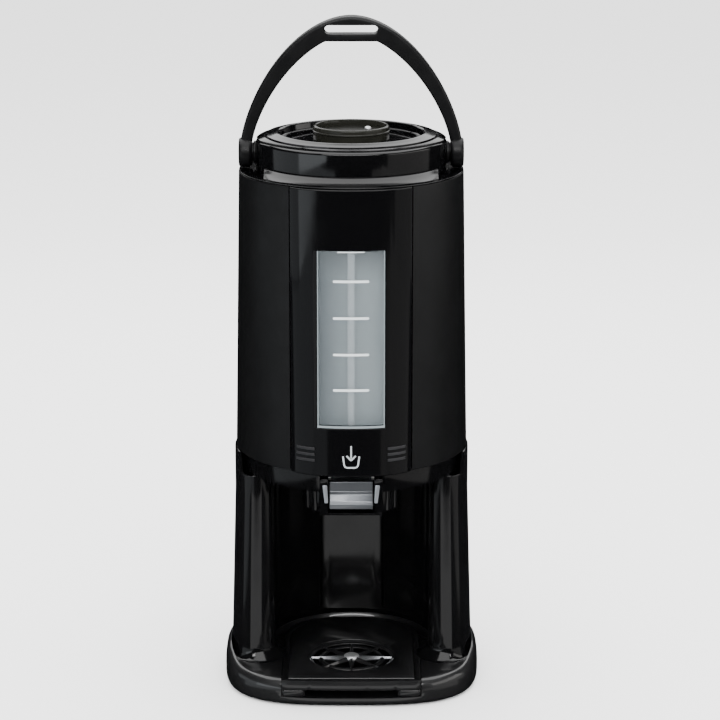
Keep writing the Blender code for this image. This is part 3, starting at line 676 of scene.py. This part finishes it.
def make_tray():
    front = -0.1120
    half = TRAY_HALF_WIDTH - GAP
    body = extruded("tray_body", tray_outline(-GAP, front), "Z", TRAY_FLOOR + GAP, DECK_Z, BASE_GLOSS)
    lip_outline = [(-half, front + 0.0006)]
    for i in range(25):
        x = half * (2 * i / 24 - 1)
        lip_outline.append((x, -0.1192 + 0.0028 * (x / half) ** 2))
    lip_outline.append((half, front + 0.0006))
    lip = extruded("lip", lip_outline, "Z", 0.0187, 0.0282)
    combine(body, lip, operation="UNION")
    ledge = extruded("ledge", tray_outline(-0.0062, -0.1078), "Z", 0.0247, 0.04)
    bin_space = extruded("bin_space", tray_outline(-0.0085, -0.092), "Z", 0.0120, 0.05)
    fingers = rounded([(-0.047, 0.0050), (0.047, 0.0050), (0.047, 0.0187), (-0.047, 0.0187)], 0.0045, 8)
    slot = extruded("slot", fingers, "Y", -0.13, -0.0945)
    combine(body, ledge, bin_space, slot)
    bevel(body, 0.0009, 3, 50)
    pills = []
    for side in (-1, 1):
        near, far = sorted((side * 0.0475, side * (half - 0.0003)))
        outline = rounded([(near, 0.0103), (far, 0.0103), (far, 0.0183), (near, 0.0183)], 0.0036, 8)
        pills.append(extruded(f"pill_{side}", outline, "Y", -0.1165, front + 0.001, BASE_GLOSS, 0.0022))
    place(joined("tray_front", [body] + pills), "tray", "gloss_black", "drip_tray")


def make_grille():
    plate = extruded("grille_plate", tray_outline(-0.0065, -0.1075), "Z", 0.0250, 0.0275, BASE_GLOSS)
    combine(plate, drum("hole", (0, TAP_Y), DISH_RADIUS - 0.0008, 0.02, 0.03, segments=96))
    bevel(plate, 0.0009, 3, 50)
    centre = (0, TAP_Y)
    ring = [(0.0405, 0.0222), (0.0458, 0.0222), (0.0458, 0.0262), (0.0442, 0.0262), (0.0425, 0.0246)]
    ring.append((0.0405, 0.0240))
    rim = lathe("dish_rim", ring, BASE_GLOSS, 0.0006, centre, segments=96)
    # The grille's centre dome, in the near-white metal: a painted highlight.
    dome = [(0, 0.0225), (0.0086, 0.0225), (0.0086, 0.0252), (0.0076, 0.0270, 0.0018)]
    dome += [(0.0050, 0.0281, 0.0025), (0, 0.0282)]
    boss = lathe("dish_boss", dome, PAINTED_GLINT_METAL, 0.0004, centre, segments=40)
    hoop = [(0.0290, 0.0225), (0.0345, 0.0225), (0.0345, 0.0236, 0.0010), (0.0318, 0.0252, 0.0012)]
    hoop.append((0.0290, 0.0240))
    hoop = lathe("dish_hoop", hoop, BASE_GLOSS, 0.0004, centre, segments=96)
    spokes = []
    count = 8
    for i in range(count):
        turn = 2 * math.pi * i / count
        along = Vector((math.cos(turn), math.sin(turn), 0))
        across = Vector((-along.y, along.x, 0))
        loops = []
        for k in range(9):
            share = k / 8
            reach = mix(0.0065, 0.0415, share)
            wide = i % (count // 2) == 0
            half = mix(0.0085 if wide else 0.0040, 0.0006, share**0.7)
            ridge = mix(0.0264, 0.0250, share)
            middle = Vector((0, TAP_Y, 0)) + along * reach
            section = [(-half, 0.0225), (half, 0.0225), (half, 0.0236)]
            section += [(half * 0.25, ridge), (-half * 0.25, ridge), (-half, 0.0236)]
            loops.append([middle + across * side + Vector((0, 0, height)) for side, height in section])
        # The two side spokes take the painted highlight.
        spokes.append(loft(f"spoke_{i}", loops, WING_PAINTED_HIGHLIGHT if i % (count // 2) == 0 else BASE_GLOSS))
    grille = joined("grille", [plate, rim, boss, hoop] + spokes)
    place(grille, "grille", "satin_black", "drip_grille")


# ---------------------------------------------------------------- casing and gauge


def make_casing():
    outline = [(0.0, CASING_BOTTOM, 0.0014), (0.0, CASING_TOP, 0.0016), (-CASING_WALL, CASING_TOP, 0.0006)]
    outline.append((-CASING_WALL, CASING_BOTTOM, 0.0006))
    profile = rounded(outline, 0.0006, 5)
    loops = []
    count = 150
    for i in range(count + 1):
        loop = []
        for offset, z in profile:
            radius = casing_radius(z) + offset
            start = math.asin((PANEL_HALF_WIDTH + 0.0002) / radius)
            turn = mix(start, 2 * math.pi - start, i / count)
            loop.append((radius * math.sin(turn), -radius * math.cos(turn), z))
        loops.append(loop)
    casing = loft("casing_skin", loops, SATIN)
    bevel(casing, 0.0009, 3, 60)
    place(casing, "stand", "satin_black", "outer_casing")


def make_panel():
    edge = PANEL_HALF_WIDTH - 0.0002
    hole = WINDOW_HALF_WIDTH + GAP
    columns = [mix(-edge, -hole, i / 14) for i in range(14)]
    columns += [mix(-hole, hole, i / 20) for i in range(20)]
    columns += [mix(hole, edge, i / 14) for i in range(15)]
    low, high = WINDOW_BOTTOM - GAP, WINDOW_TOP + GAP
    rows = [mix(CASING_BOTTOM, low, i / 6) for i in range(6)]
    rows += [mix(low, high, i / 14) for i in range(14)]
    rows += [mix(high, CASING_TOP, i / 6) for i in range(7)]
    bm = bmesh.new()
    grid = [[bm.verts.new((x, panel_front(x, z), z)) for x in columns] for z in rows]
    for j in range(len(rows) - 1):
        for i in range(len(columns) - 1):
            x, z = mix(columns[i], columns[i + 1], 0.5), mix(rows[j], rows[j + 1], 0.5)
            if abs(x) > hole or not low < z < high:
                bm.faces.new((grid[j][i], grid[j][i + 1], grid[j + 1][i + 1], grid[j + 1][i]))
    panel = finished("panel_skin", bm, PANEL_GLOSS)
    solid = panel.modifiers.new("wall", "SOLIDIFY")
    solid.thickness = PANEL_WALL
    solid.offset = -1
    settle(panel)
    bevel(panel, 0.0011, 3, 50)
    place(panel, "stand", "gloss_black", "front_panel")


def on_panel(x, z, proud=0.0):
    return Vector((x, panel_front(x, z) - proud, z))


def ribbon(name, path, width, proud, finish, closed=False):
    """A line on the front panel's face, along a path of (x, z) points. It draws print, raised ribs, and
    painted highlight and painted shade lines beside the window.
    """
    bm = bmesh.new()
    count = len(path)
    rails = []
    for i, (x, z) in enumerate(path):
        before = Vector(path[i - 1] if i or closed else path[0])
        after = Vector(path[(i + 1) % count] if i < count - 1 or closed else path[-1])
        ahead = (after - before).normalized()
        side = Vector((-ahead.y, ahead.x)) * width / 2
        rail = []
        for sign, lift in ((1, 0), (1, proud), (-1, proud), (-1, 0)):
            rail.append(bm.verts.new(on_panel(x + side.x * sign, z + side.y * sign, lift)))
        rails.append(rail)
    pairs = list(zip(rails, rails[1:] + rails[:1])) if closed else list(zip(rails, rails[1:]))
    for first, second in pairs:
        bridge(bm, first, second)
    if not closed:
        bm.faces.new(rails[0])
        bm.faces.new(rails[-1])
    return finished(name, bm, finish)


def arc(centre, radius, start, end, steps):
    points = []
    for i in range(steps + 1):
        turn = math.radians(mix(start, end, i / steps))
        points.append((centre[0] + radius * math.cos(turn), centre[1] + radius * math.sin(turn)))
    return points


def make_panel_marks():
    """Three raised ribs on either side of the lever, and a plain sign over it: press down, and it pours."""
    ribs = []
    for side in (-1, 1):
        for i in range(3):
            z = RIB_TOP - RIB_PITCH * i
            path = [(side * mix(RIB_NEAR, RIB_FAR, k / 8), z) for k in range(9)]
            rib = ribbon(f"rib_{side}_{i}", path, 0.0030, 0.0012, RIB_SATIN)
            ribs.append(bevel(rib, 0.0009, 3, 40))
    place(joined("panel_ribs", ribs), "stand", "gloss_black")

    line = 0.0016
    cup = [(-0.0080, 0.2660), (-0.0068, 0.2570), (-0.0058, 0.2552), (-0.0040, 0.2545)]
    cup += [(0.0040, 0.2545), (0.0058, 0.2552), (0.0068, 0.2570), (0.0080, 0.2660)]
    shapes = [ribbon("cup_line", cup, line, 0.00015, INK_GREY)]
    shapes.append(ribbon("stem_line", [(0, 0.2765), (0, 0.2640)], line, 0.00015, INK_GREY))
    for side in (-1, 1):
        head = [(side * 0.0045, 0.2665), (0, 0.2618)]
        shapes.append(ribbon(f"head_line_{side}", head, line, 0.00015, INK_GREY))
    place(joined("press_sign", shapes), "stand", "gauge_backing")


def make_gauge():
    heights = [mix(WINDOW_BOTTOM, WINDOW_TOP, i / 12) for i in range(13)]
    loops = []
    for z in heights:
        outer, inner = [], []
        for i in range(25):
            x = WINDOW_HALF_WIDTH * (2 * i / 24 - 1)
            y = panel_front(x, z) + 0.0004
            outer.append((x, y, z))
            inner.append((x, y + 0.0016, z))
        loops.append(outer + inner[::-1])
    pane = bevel(loft("window_pane", loops, WINDOW_CLEAR), 0.0004, 2, 50)
    place(pane, "stand", "clear_plastic", "gauge_window")

    low, high, edge = WINDOW_BOTTOM, WINDOW_TOP, WINDOW_HALF_WIDTH
    upright = [mix(low, high, k / 12) for k in range(13)]
    across = [edge * (2 * k / 16 - 1) for k in range(17)]
    lines = [ribbon("pane_left", [(-edge + 0.0007, z) for z in upright], 0.0010, 0.0003, PANE_EDGE)]
    lines.append(ribbon("pane_right", [(edge - 0.0007, z) for z in upright], 0.0010, 0.0003, PANE_EDGE))
    # The pale sill line is a painted highlight on the window's lower edge.
    lines.append(ribbon("pane_sill", [(x, low + 0.0013) for x in across], 0.0022, 0.0005, PANE_EDGE))
    lines.append(ribbon("pane_sill_gap", [(x, low + 0.0029) for x in across], 0.0007, 0.0002, GLOSS))
    lines.append(ribbon("pane_head", [(x * 0.4, high - 0.0006) for x in across], 0.0009, 0.0003, INK_WHITE))
    # A dark satin strip just outside the window's left edge: painted shade.
    lines.append(ribbon("pane_shade", [(-edge - 0.0020, z) for z in upright], 0.0026, 0.0002, HANDLE_SATIN))
    place(joined("pane_frame", lines), "stand", "gauge_backing")

    back, face = -0.1015, -0.1029
    outer, inner = 0.0360, 0.0336
    outline = [(-outer, back), (-outer, face), (outer, face), (outer, back)]
    plate = extruded("gauge_plate", outline, "Z", 0.290, 0.474, BACKING)
    walls = []
    for side in (-1, 1):
        loops = []
        for z in (0.2902, 0.3500, 0.4100, 0.4738):
            near = panel_front(inner, z) + 0.0026
            section = [(inner, face), (inner + 0.0022, face), (inner + 0.0022, near), (inner, near)]
            loops.append([(side * x, y, z) for x, y in section])
        walls.append(loft(f"gauge_wall_{side}", loops, BACKING))
    place(joined("gauge_channel", [plate] + walls), "stand", "gauge_backing", "gauge_back_plate")

    outline = [(0.0030, 0.2625), (0.0040, 0.2625), (0.0040, 0.4860), (0.0030, 0.4860)]
    tube = lathe("gauge_pipe", outline, TUBE_CLEAR, 0.0002, (0, GAUGE_Y), segments=40)
    place(tube, "stand", "clear_plastic", "gauge_tube")

    marks = []
    for k, z in enumerate(MARK_HEIGHTS):
        loops = []
        for i in range(13):
            x = MARK_HALF_WIDTH * (2 * i / 12 - 1)
            y = panel_front(x, z) + 0.0003
            corners = ((y, z - 0.0012), (y + 0.0002, z - 0.0012), (y + 0.0002, z + 0.0012), (y, z + 0.0012))
            loops.append([(x, v, w) for v, w in corners])
        marks.append(loft(f"mark_{k}", loops, INK_WHITE))
    place(joined("litre_marks", marks), "stand", "gauge_backing")


def make_bottom_cover():
    low, floor, top = 0.2240, 0.2265, 0.2447
    outline = [(0.030, low), (0.1120, low, 0.0022), (0.1120, top), (0.1095, top)]
    outline += [(0.1095, floor), (0.030, floor)]
    cover = lathe("under_cover", outline, GLOSS, 0.0005)
    half = BRACKET_HALF_WIDTH + GAP
    hole = drum("hole", (0, TAP_Y), 0.0455, 0.20, 0.235, segments=96)
    notch = block("notch", (-half, -0.13, 0.21), (half, -0.0797, 0.2410))
    combine(cover, hole, notch)
    bevel(cover, 0.0005, 2, 50)
    place(cover, "stand", "gloss_black", "bottom_cover")


# ---------------------------------------------------------------- top


def make_shoulder():
    edge, top = 0.0963, 0.5380
    outline = [(edge, 0.5294), (0.1122, 0.5294, 0.0003), (0.1122, 0.5303, 0.0006), (0.1090, 0.5309, 0.0030)]
    outline += [(0.1035, 0.5336, 0.0060), (0.0985, 0.5374, 0.0030), (0.0972, top, 0.0006), (edge, top)]
    cover = lathe("shoulder_skin", outline, GLOSS, 0.0003)
    cuts = []
    for side in (-1, 1):
        near, far = sorted((side * 0.0853, side * 0.13))
        cuts.append(block(f"flat_{side}", (near, -0.09, 0.5304), (far, 0.09, 0.56)))
    combine(cover, *cuts)
    bevel(cover, 0.0005, 2, 50)
    place(cover, "stand", "gloss_black", "shoulder_cover")

    outline = [(0.0836, 0.5296), (0.0955, 0.5296), (0.0955, 0.5596, 0.0014), (0.0938, 0.5612, 0.0014)]
    outline += [(0.0866, 0.5636, 0.0010), (0.0853, 0.5634), (0.0853, 0.5597), (0.0836, 0.5597)]
    ring = lathe("shoulder_band", outline, GLOSS, 0.0003)
    rooms = []
    for side in (-1, 1):
        near, far = sorted((side * 0.0877, side * 0.110))
        rooms.append(drum(f"room_{side}", (0, PIVOT_Z), 0.0170, near, far, "X", 64))
        near, far = sorted((side * 0.080, side * 0.095))
        rooms.append(drum(f"seat_{side}", (0, PIVOT_Z), 0.0043, near, far, "X", 24))
    combine(ring, *rooms)
    bevel(ring, 0.0005, 2, 50)
    place(ring, "stand", "gloss_black", "shoulder_ring")

    for name, side in (("left", -1), ("right", 1)):
        near, far = side * 0.0880, side * 0.0917
        outline = [(0.0043, near), (0.012, near), (0.012, far), (0.0043, far)]
        bush = lathe(f"bush_{name}", outline, PLAIN, 0.0006, (0, PIVOT_Z), "X", SMALL_ROUND)
        place(bush, "stand", "silicone", f"pivot_bush_{name}")


def make_lid():
    hole = 0.0364
    outline = [(hole, 0.5568), (0.0735, 0.5568), (0.0745, 0.5602), (0.0850, 0.5602)]
    outline += [(0.0850, 0.5650, 0.0004), (0.0800, 0.5658, 0.0030), (0.0745, 0.5672, 0.0030)]
    outline += [(0.0730, 0.5673, 0.0008), (0.0717, 0.5662, 0.0010), (0.0710, 0.5598, 0.0015)]
    outline.append((hole, 0.5598))
    cap = lathe("lid_cap", outline, GLOSS, 0.0004)
    floor = [(hole, 0.5590), (0.0701, 0.5590), (0.0701, 0.5600), (hole, 0.5600)]
    dish = lathe("lid_dish", floor, DISH_GLOSS, 0.0002)
    place(joined("lid_skin", [cap, dish]), "lid", "gloss_black", "lid_top")

    outer = 0.0380
    outline = [(outer, 0.5600), (outer, 0.5672, 0.0008), (0.0388, 0.5676, 0.0003), (0.0388, 0.5686, 0.0005)]
    outline += [(outer, 0.5690, 0.0003), (outer, 0.5725, 0.0010), (0.0366, 0.5735, 0.0008)]
    outline += [(0.0346, 0.5735, 0.0010), (0.0342, 0.5700, 0.0006), (0.0342, 0.5660), (0.0290, 0.5600)]
    rim = lathe("funnel_rim", outline, RIM_SATIN, 0.0003)
    # The funnel bowl in satin, with the dark olive grey of a painted reflection.
    outline = [(0.0344, 0.5672), (0.0320, 0.5664, 0.002), (0.0180, 0.5628, 0.006), (0.0090, 0.5590, 0.002)]
    outline += [(0.0080, 0.5560, 0.001), (0.0080, 0.5466), (0.0102, 0.5466), (0.0102, 0.5556)]
    outline += [(0.0190, 0.5600), (0.0344, 0.5640)]
    bowl = lathe("funnel_bowl", outline, BOWL_PAINTED_REFLECTION, 0.0003)
    # A small knob in the near-white metal, put in the bowl to show a glint: a painted glint.
    outline = [(0, 0.5600), (0.0020, 0.5600), (0.0022, 0.5700), (0.0034, 0.5712, 0.0010)]
    outline += [(0.0034, 0.5726, 0.0014), (0.0020, 0.5740, 0.0010), (0, 0.5742)]
    knob = lathe("painted_glint_knob", outline, PAINTED_GLINT_METAL, 0.0004, (0.0165, -0.0130), segments=32)
    place(joined("brew_funnel", [rim, bowl, knob]), "lid", "gloss_black", "brew_collar")

    outer, inner = 0.0775, 0.0750
    outline = [(0.013, 0.5460), (outer, 0.5460, 0.002), (outer, 0.5597), (inner, 0.5597)]
    outline += [(inner, 0.5485), (0.0155, 0.5485), (0.0155, 0.5560), (0.013, 0.5560)]
    place(lathe("plug_skin", outline, PLAIN), "lid", "inner_plastic", "lid_plug")
    outline = [(0.0778, 0.5508, 0), (0.0797, 0.5518), (0.0797, 0.5532), (0.0778, 0.5542, 0)]
    place(lathe("plug_gasket", outline, SILICONE, 0.0006), "lid", "silicone", "lid_gasket")


def make_vessel():
    wall, neck, inside, floor = 0.001, 0.081, 0.096, 0.268
    outline = [(0.0093, floor), (inside + wall, floor, 0.006), (inside + wall, 0.505, 0.008)]
    outline += [(neck, 0.525, 0.006), (neck, 0.556), (0.080, 0.556), (0.080, 0.5254, 0.006)]
    outline += [(inside, 0.5054, 0.008), (inside, floor + wall, 0.006), (0.0093, floor + wall)]
    place(lathe("inner_vessel", outline, TURNED_STEEL, 0.0003), "stand", "stainless_steel", "inner_liner")
    outline = [(0.0799, 0.5563), (0.0833, 0.5563), (0.0833, 0.5594), (0.0799, 0.5594)]
    place(lathe("mouth_ring", outline, SILICONE, 0.0005), "stand", "silicone", "mouth_seal")


# ---------------------------------------------------------------- handle


BOW_FOOT_Z = 0.551
BOW_OUTER = (0.1110, 0.1311, 1.9, 1.5)
BOW_INNER = (0.0993, 0.1140, 1.7, 1.5)
GRIP_UNDERSIDE = 0.6572


def bow_point(half_width, height, x_power, z_power, turn):
    x = half_width * math.cos(turn) ** (2 / x_power) if turn < math.pi / 2 - 1e-9 else 0.0
    return x, BOW_FOOT_Z + height * math.sin(turn) ** (2 / z_power)


def bow_section(turn, side):
    outer_x, outer_z = bow_point(*BOW_OUTER, turn)
    inner_x, inner_z = bow_point(*BOW_INNER, turn)
    inner_z = min(inner_z, GRIP_UNDERSIDE)
    share = math.sin(turn) ** 4
    depth = mix(0.0065, 0.0100, share)
    outer = Vector((outer_x * side, 0, outer_z))
    inner = Vector((inner_x * side, 0, inner_z))
    across = outer - inner
    length = across.length
    corners = [(0, -depth), (length, -depth), (length, depth), (0, depth)]
    return [inner + across.normalized() * a + Vector((0, b, 0)) for a, b in rounded(corners, 0.0034, 5)]


def make_handle():
    steps = 60
    loops = []
    for i in range(-steps, steps + 1):
        turn = math.pi / 2 * (1 - abs(i) / steps)
        loops.append(bow_section(turn, -1 if i < 0 else 1))
    bow = loft("bow", loops, HANDLE_SATIN)
    half_length, half_height, middle_z = 0.0265, 0.0045, 0.6690
    reach = half_length - half_height
    slot = arc((reach, middle_z), half_height, -90, 90, 12)
    slot += arc((-reach, middle_z), half_height, 90, 270, 12)
    combine(bow, extruded("grip_slot", slot, "Y", -0.02, 0.02))
    bevel(bow, 0.0012, 4, 60)
    knuckles = []
    for side in (-1, 1):
        outline = [(0.0043, 0.0922), (0.0098, 0.0922), (0.0098, 0.0946), (0.0114, 0.0950), (0.0114, 0.0972)]
        outline += [(0.0098, 0.0976), (0.0098, 0.0988), (0.0132, 0.0990, 0.0012), (0.0150, 0.1015, 0.0040)]
        outline += [(0.0152, 0.1085, 0.0040), (0.0138, 0.1122, 0.0035), (0.0105, 0.1122, 0.0004)]
        outline += [(0.0100, 0.1114), (0, 0.1114), (0, 0.1088), (0.0043, 0.1088)]
        outline = [(reach, along * side, *rest) for reach, along, *rest in outline]
        knuckles.append(lathe(f"knuckle_{side}", outline, HANDLE_SATIN, 0.0004, (0, PIVOT_Z), "X", 64))
    place(joined("bail", [bow] + knuckles), "handle", "satin_black", "carry_handle")


# ---------------------------------------------------------------- tap


def make_tap():
    spot = (0, TAP_Y)
    outline = [(0.0084, 0.1920), (0.0500, 0.1920, 0.0060), (0.0500, 0.2237), (0.0475, 0.2237)]
    outline += [(0.0475, 0.1945, 0.0045), (0.0084, 0.1945)]
    cup = lathe("tap_cup", outline, GLOSS, 0.0005, spot)
    half = BRACKET_HALF_WIDTH + GAP
    combine(cup, block("room", (-half, -0.13, 0.18), (half, -0.0797, 0.24)))
    bevel(cup, 0.0005, 2, 50)
    posts = []
    for side in (-1, 1):
        for x, radius in ((0.0360, 0.0034), (0.0435, 0.0026), (0.0488, 0.0014)):
            y = TAP_Y - math.sqrt(0.0490**2 - x**2)
            outline = [(0, 0.1945), (radius, 0.1945, radius * 0.6), (radius, 0.2237), (0, 0.2237)]
            posts.append(lathe(f"post_{side}_{x}", outline, GLOSS, 0, (side * x, y), segments=SMALL_ROUND))
    place(joined("tap_shell", [cup] + posts), "stand", "gloss_black", "tap_housing")

    outline = [(-0.080, 0.199), (-0.105, 0.199), (-0.108, 0.204), (-0.1175, 0.236), (-0.1175, 0.2405)]
    outline = rounded(outline + [(-0.080, 0.2405)], 0.0015)
    bracket = extruded("tap_bracket", outline, "X", -BRACKET_HALF_WIDTH, BRACKET_HALF_WIDTH, GLOSS)
    cheek = LEVER_HALF_WIDTH + 0.0005
    bay = block("bay", (-cheek, -0.14, 0.202), (cheek, -0.083, 0.25))
    way = block("way", (-cheek, -0.09, 0.223), (cheek, -0.07, 0.25))
    combine(bracket, bay, way)
    bevel(bracket, 0.0006, 3, 50)
    # The bracket's cheeks beside the lever take the lighter silver, a painted highlight.
    cheeks = []
    for side in (-1, 1):
        corners = [(0.0240, 0.2395, -0.1160), (0.0291, 0.2395, -0.1160)]
        corners += [(0.0262, 0.2166, -0.1204), (0.0228, 0.2166, -0.1204)]
        loops = [[(side * x, y + back, z) for x, z, y in corners] for back in (0, 0.0045)]
        cheeks.append(bevel(loft(f"cheek_{side}", loops, CHEEK_PAINTED_HIGHLIGHT), 0.0007, 3, 40))
    place(joined("bracket_skin", [bracket] + cheeks), "stand", "gloss_black", "lever_bracket")

    outline = [(0.005, 0.184), (0.0074, 0.184), (0.008, 0.186), (0.008, 0.1948)]
    outline += [(0.012, 0.1948), (0.012, 0.198), (0.009, 0.2017), (0.005, 0.2017)]
    spout = lathe("spout_skin", outline, PLAIN, 0.0005, spot, segments=SMALL_ROUND)
    place(spout, "stand", "inner_plastic", "spout")


def make_lever():
    outline = [(-0.1035, 0.2362, 0.0010), (-0.1124, 0.2365, 0.0012), (-0.1130, 0.2262, 0.0010)]
    outline += [(-0.1152, 0.2247, 0.0014), (-0.1180, 0.2172, 0.0040), (-0.1195, 0.2149, 0.0010)]
    outline += [(-0.1186, 0.2100, 0.0010), (-0.1120, 0.2098, 0.0015), (-0.1060, 0.2140), (-0.1050, 0.2260)]
    half = LEVER_HALF_WIDTH - 0.0010
    paddle = extruded("paddle", rounded(outline, 0.0015, 8), "X", -half, half, SILVER, 0.0012)
    web = block("web", (-0.018, -0.1058, 0.2290), (0.018, -0.0840, 0.2350), SILVER, 0.0008)
    arm = block("arm", (-0.007, -0.0880, 0.2305), (0.007, -0.037, 0.2335), SILVER)
    combine(arm, block("fork", (-0.0033, -0.0465, 0.225), (0.0033, -0.030, 0.24)))
    outline = [(0.0023, -0.020), (0.0055, -0.020), (0.0055, 0.020), (0.0023, 0.020)]
    hub = lathe("hub", outline, SILVER, 0.0004, (LEVER_PIVOT_Y, LEVER_PIVOT_Z), "X", SMALL_ROUND)
    place(joined("lever", [paddle, web, arm, hub]), "lever", "lever_silver", "press_lever")


# ---------------------------------------------------------------- materials for the CAD pieces that stay


def dress_the_rest():
    finishes = {
        "gloss_black": GLOSS,
        "satin_black": SATIN,
        "inner_plastic": PLAIN,
        "lever_silver": SILVER,
        "gauge_backing": BACKING,
        "clear_plastic": WINDOW_CLEAR,
        "rubber": RUBBER,
        "silicone": SILICONE,
        "stainless_steel": STEEL,
    }
    for entry in frame["record"]["subparts"]:
        node = frame["nodes"][entry["node"]]
        for slot in node.material_slots:
            slot.material = finishes[entry["material_slot"]]
        node.data.shade_smooth()
        node.data.set_sharp_from_angle(angle=math.radians(32))


# ---------------------------------------------------------------- stage


def softbox(name, centre, aim, size, radiance, colour=(1, 1, 1)):
    """A rectangular light of an even brightness, facing along aim. Its second size is the upright one."""
    data = bpy.data.lights.new(name, "AREA")
    data.shape = "RECTANGLE"
    data.size, data.size_y = size
    data.energy = radiance * math.pi * size[0] * size[1]
    data.color = colour
    lamp = bpy.data.objects.new(name, data)
    lamp.location = centre
    lamp.rotation_euler = Vector(aim).to_track_quat("-Z", "Y").to_euler()
    lamp.visible_camera = False
    bpy.context.scene.collection.objects.link(lamp)


def make_camera():
    data = bpy.data.cameras.new("camera")
    data.sensor_width = 36.0
    data.lens = CAMERA_LENS
    camera = bpy.data.objects.new("camera", data)
    camera.location = CAMERA_PLACE
    camera.rotation_euler = (CAMERA_TILT, 0, 0)
    bpy.context.scene.collection.objects.link(camera)
    bpy.context.scene.camera = camera


def make_floor():
    finish = Finish("floor_white", (0.90, 0.90, 0.90), 0.6, Specular_IOR_Level=0.0)
    finish.use(finish.ramp(finish.noise(3, 4), 0.55, 0.65), "Roughness")
    bm = bmesh.new()
    bmesh.ops.create_circle(bm, cap_ends=True, segments=96, radius=12.0)
    floor = finished("floor", bm, finish.material)
    floor.location.z = -0.0002
    floor.visible_glossy = False
    floor.visible_shadow = False


def make_world():
    """An even white surround, which polished surfaces see as dark, so that they show only the softboxes."""
    world = bpy.data.worlds.new("studio")
    bpy.context.scene.world = world
    world.use_nodes = True
    nodes, links = world.node_tree.nodes, world.node_tree.links
    path = nodes.new("ShaderNodeLightPath")
    shade = nodes.new("ShaderNodeMix")
    shade.data_type = "RGBA"
    shade.inputs["A"].default_value = (SURROUND, SURROUND, SURROUND, 1)
    shade.inputs["B"].default_value = (0.012, 0.012, 0.013, 1)
    links.new(path.outputs["Is Glossy Ray"], shade.inputs["Factor"])
    links.new(shade.outputs["Result"], nodes["Background"].inputs["Color"])


def make_lights():
    """A room of softboxes: bright overhead, dim and low in front, with dark between them."""
    cool, warm = (0.90, 0.96, 1.0), (1.0, 0.985, 0.96)
    front, side = -2.2, 1.6
    softbox("left_band", (-side, -1.85, 0.33), (1, 0, 0), (2.1, 0.40), 2.0, cool)
    softbox("left_back", (-side, -0.20, 0.33), (1, 0, 0), (1.2, 0.40), 0.7, cool)
    softbox("left_low", (-side, -1.15, -0.14), (1, 0, 0), (2.1, 0.52), 0.55, cool)
    softbox("right_band", (side, -0.65, 0.85), (-1, 0, 0), (2.1, 0.60), 2.0, warm)
    softbox("right_middle", (side, -0.65, 0.335), (-1, 0, 0), (2.1, 0.43), 0.40, warm)
    softbox("right_low", (side, -1.15, -0.14), (-1, 0, 0), (2.1, 0.52), 0.45, warm)
    softbox("roof", (0.0, 0.75, 2.3), (0, 0, -1), (3.0, 2.7), 3.0)
    softbox("back_wall", (0.0, 2.2, 1.68), (0, -1, 0), (4.0, 1.20), 1.9)
    softbox("front_roof", (0.0, -1.3, 2.3), (0, 0.7, -1), (2.2, 1.2), 2.6)
    softbox("front_top", (0.0, -2.6, 1.75), (0, 2.6, -1.45), (2.4, 1.5), 0.9)
    softbox("front_strip", (0.0, -2.4, 1.95), (0, 2.4, -1.9), (3.4, 0.26), 13.0)
    softbox("front_left_high", (-1.175, front, -0.03), (0, 1, 0), (0.85, 0.18), 0.70, cool)
    softbox("front_left", (-1.175, front, -0.29), (0, 1, 0), (0.85, 0.34), 0.42, cool)
    softbox("front_right", (1.30, front, -0.20), (0, 1, 0), (0.60, 0.52), 0.38, warm)
    softbox("front_low", (-0.15, front, -0.68), (0, 1, 0), (2.9, 0.44), 0.95)
    softbox("front_foot", (0.0, front, -0.97), (0, 1, 0), (2.9, 0.14), 1.4)


make_base()
make_stand()
make_tray()
make_grille()
make_casing()
make_panel()
make_panel_marks()
make_gauge()
make_bottom_cover()
make_shoulder()
make_lid()
make_vessel()
make_handle()
make_tap()
make_lever()
dress_the_rest()
make_camera()
make_floor()
make_world()
make_lights()
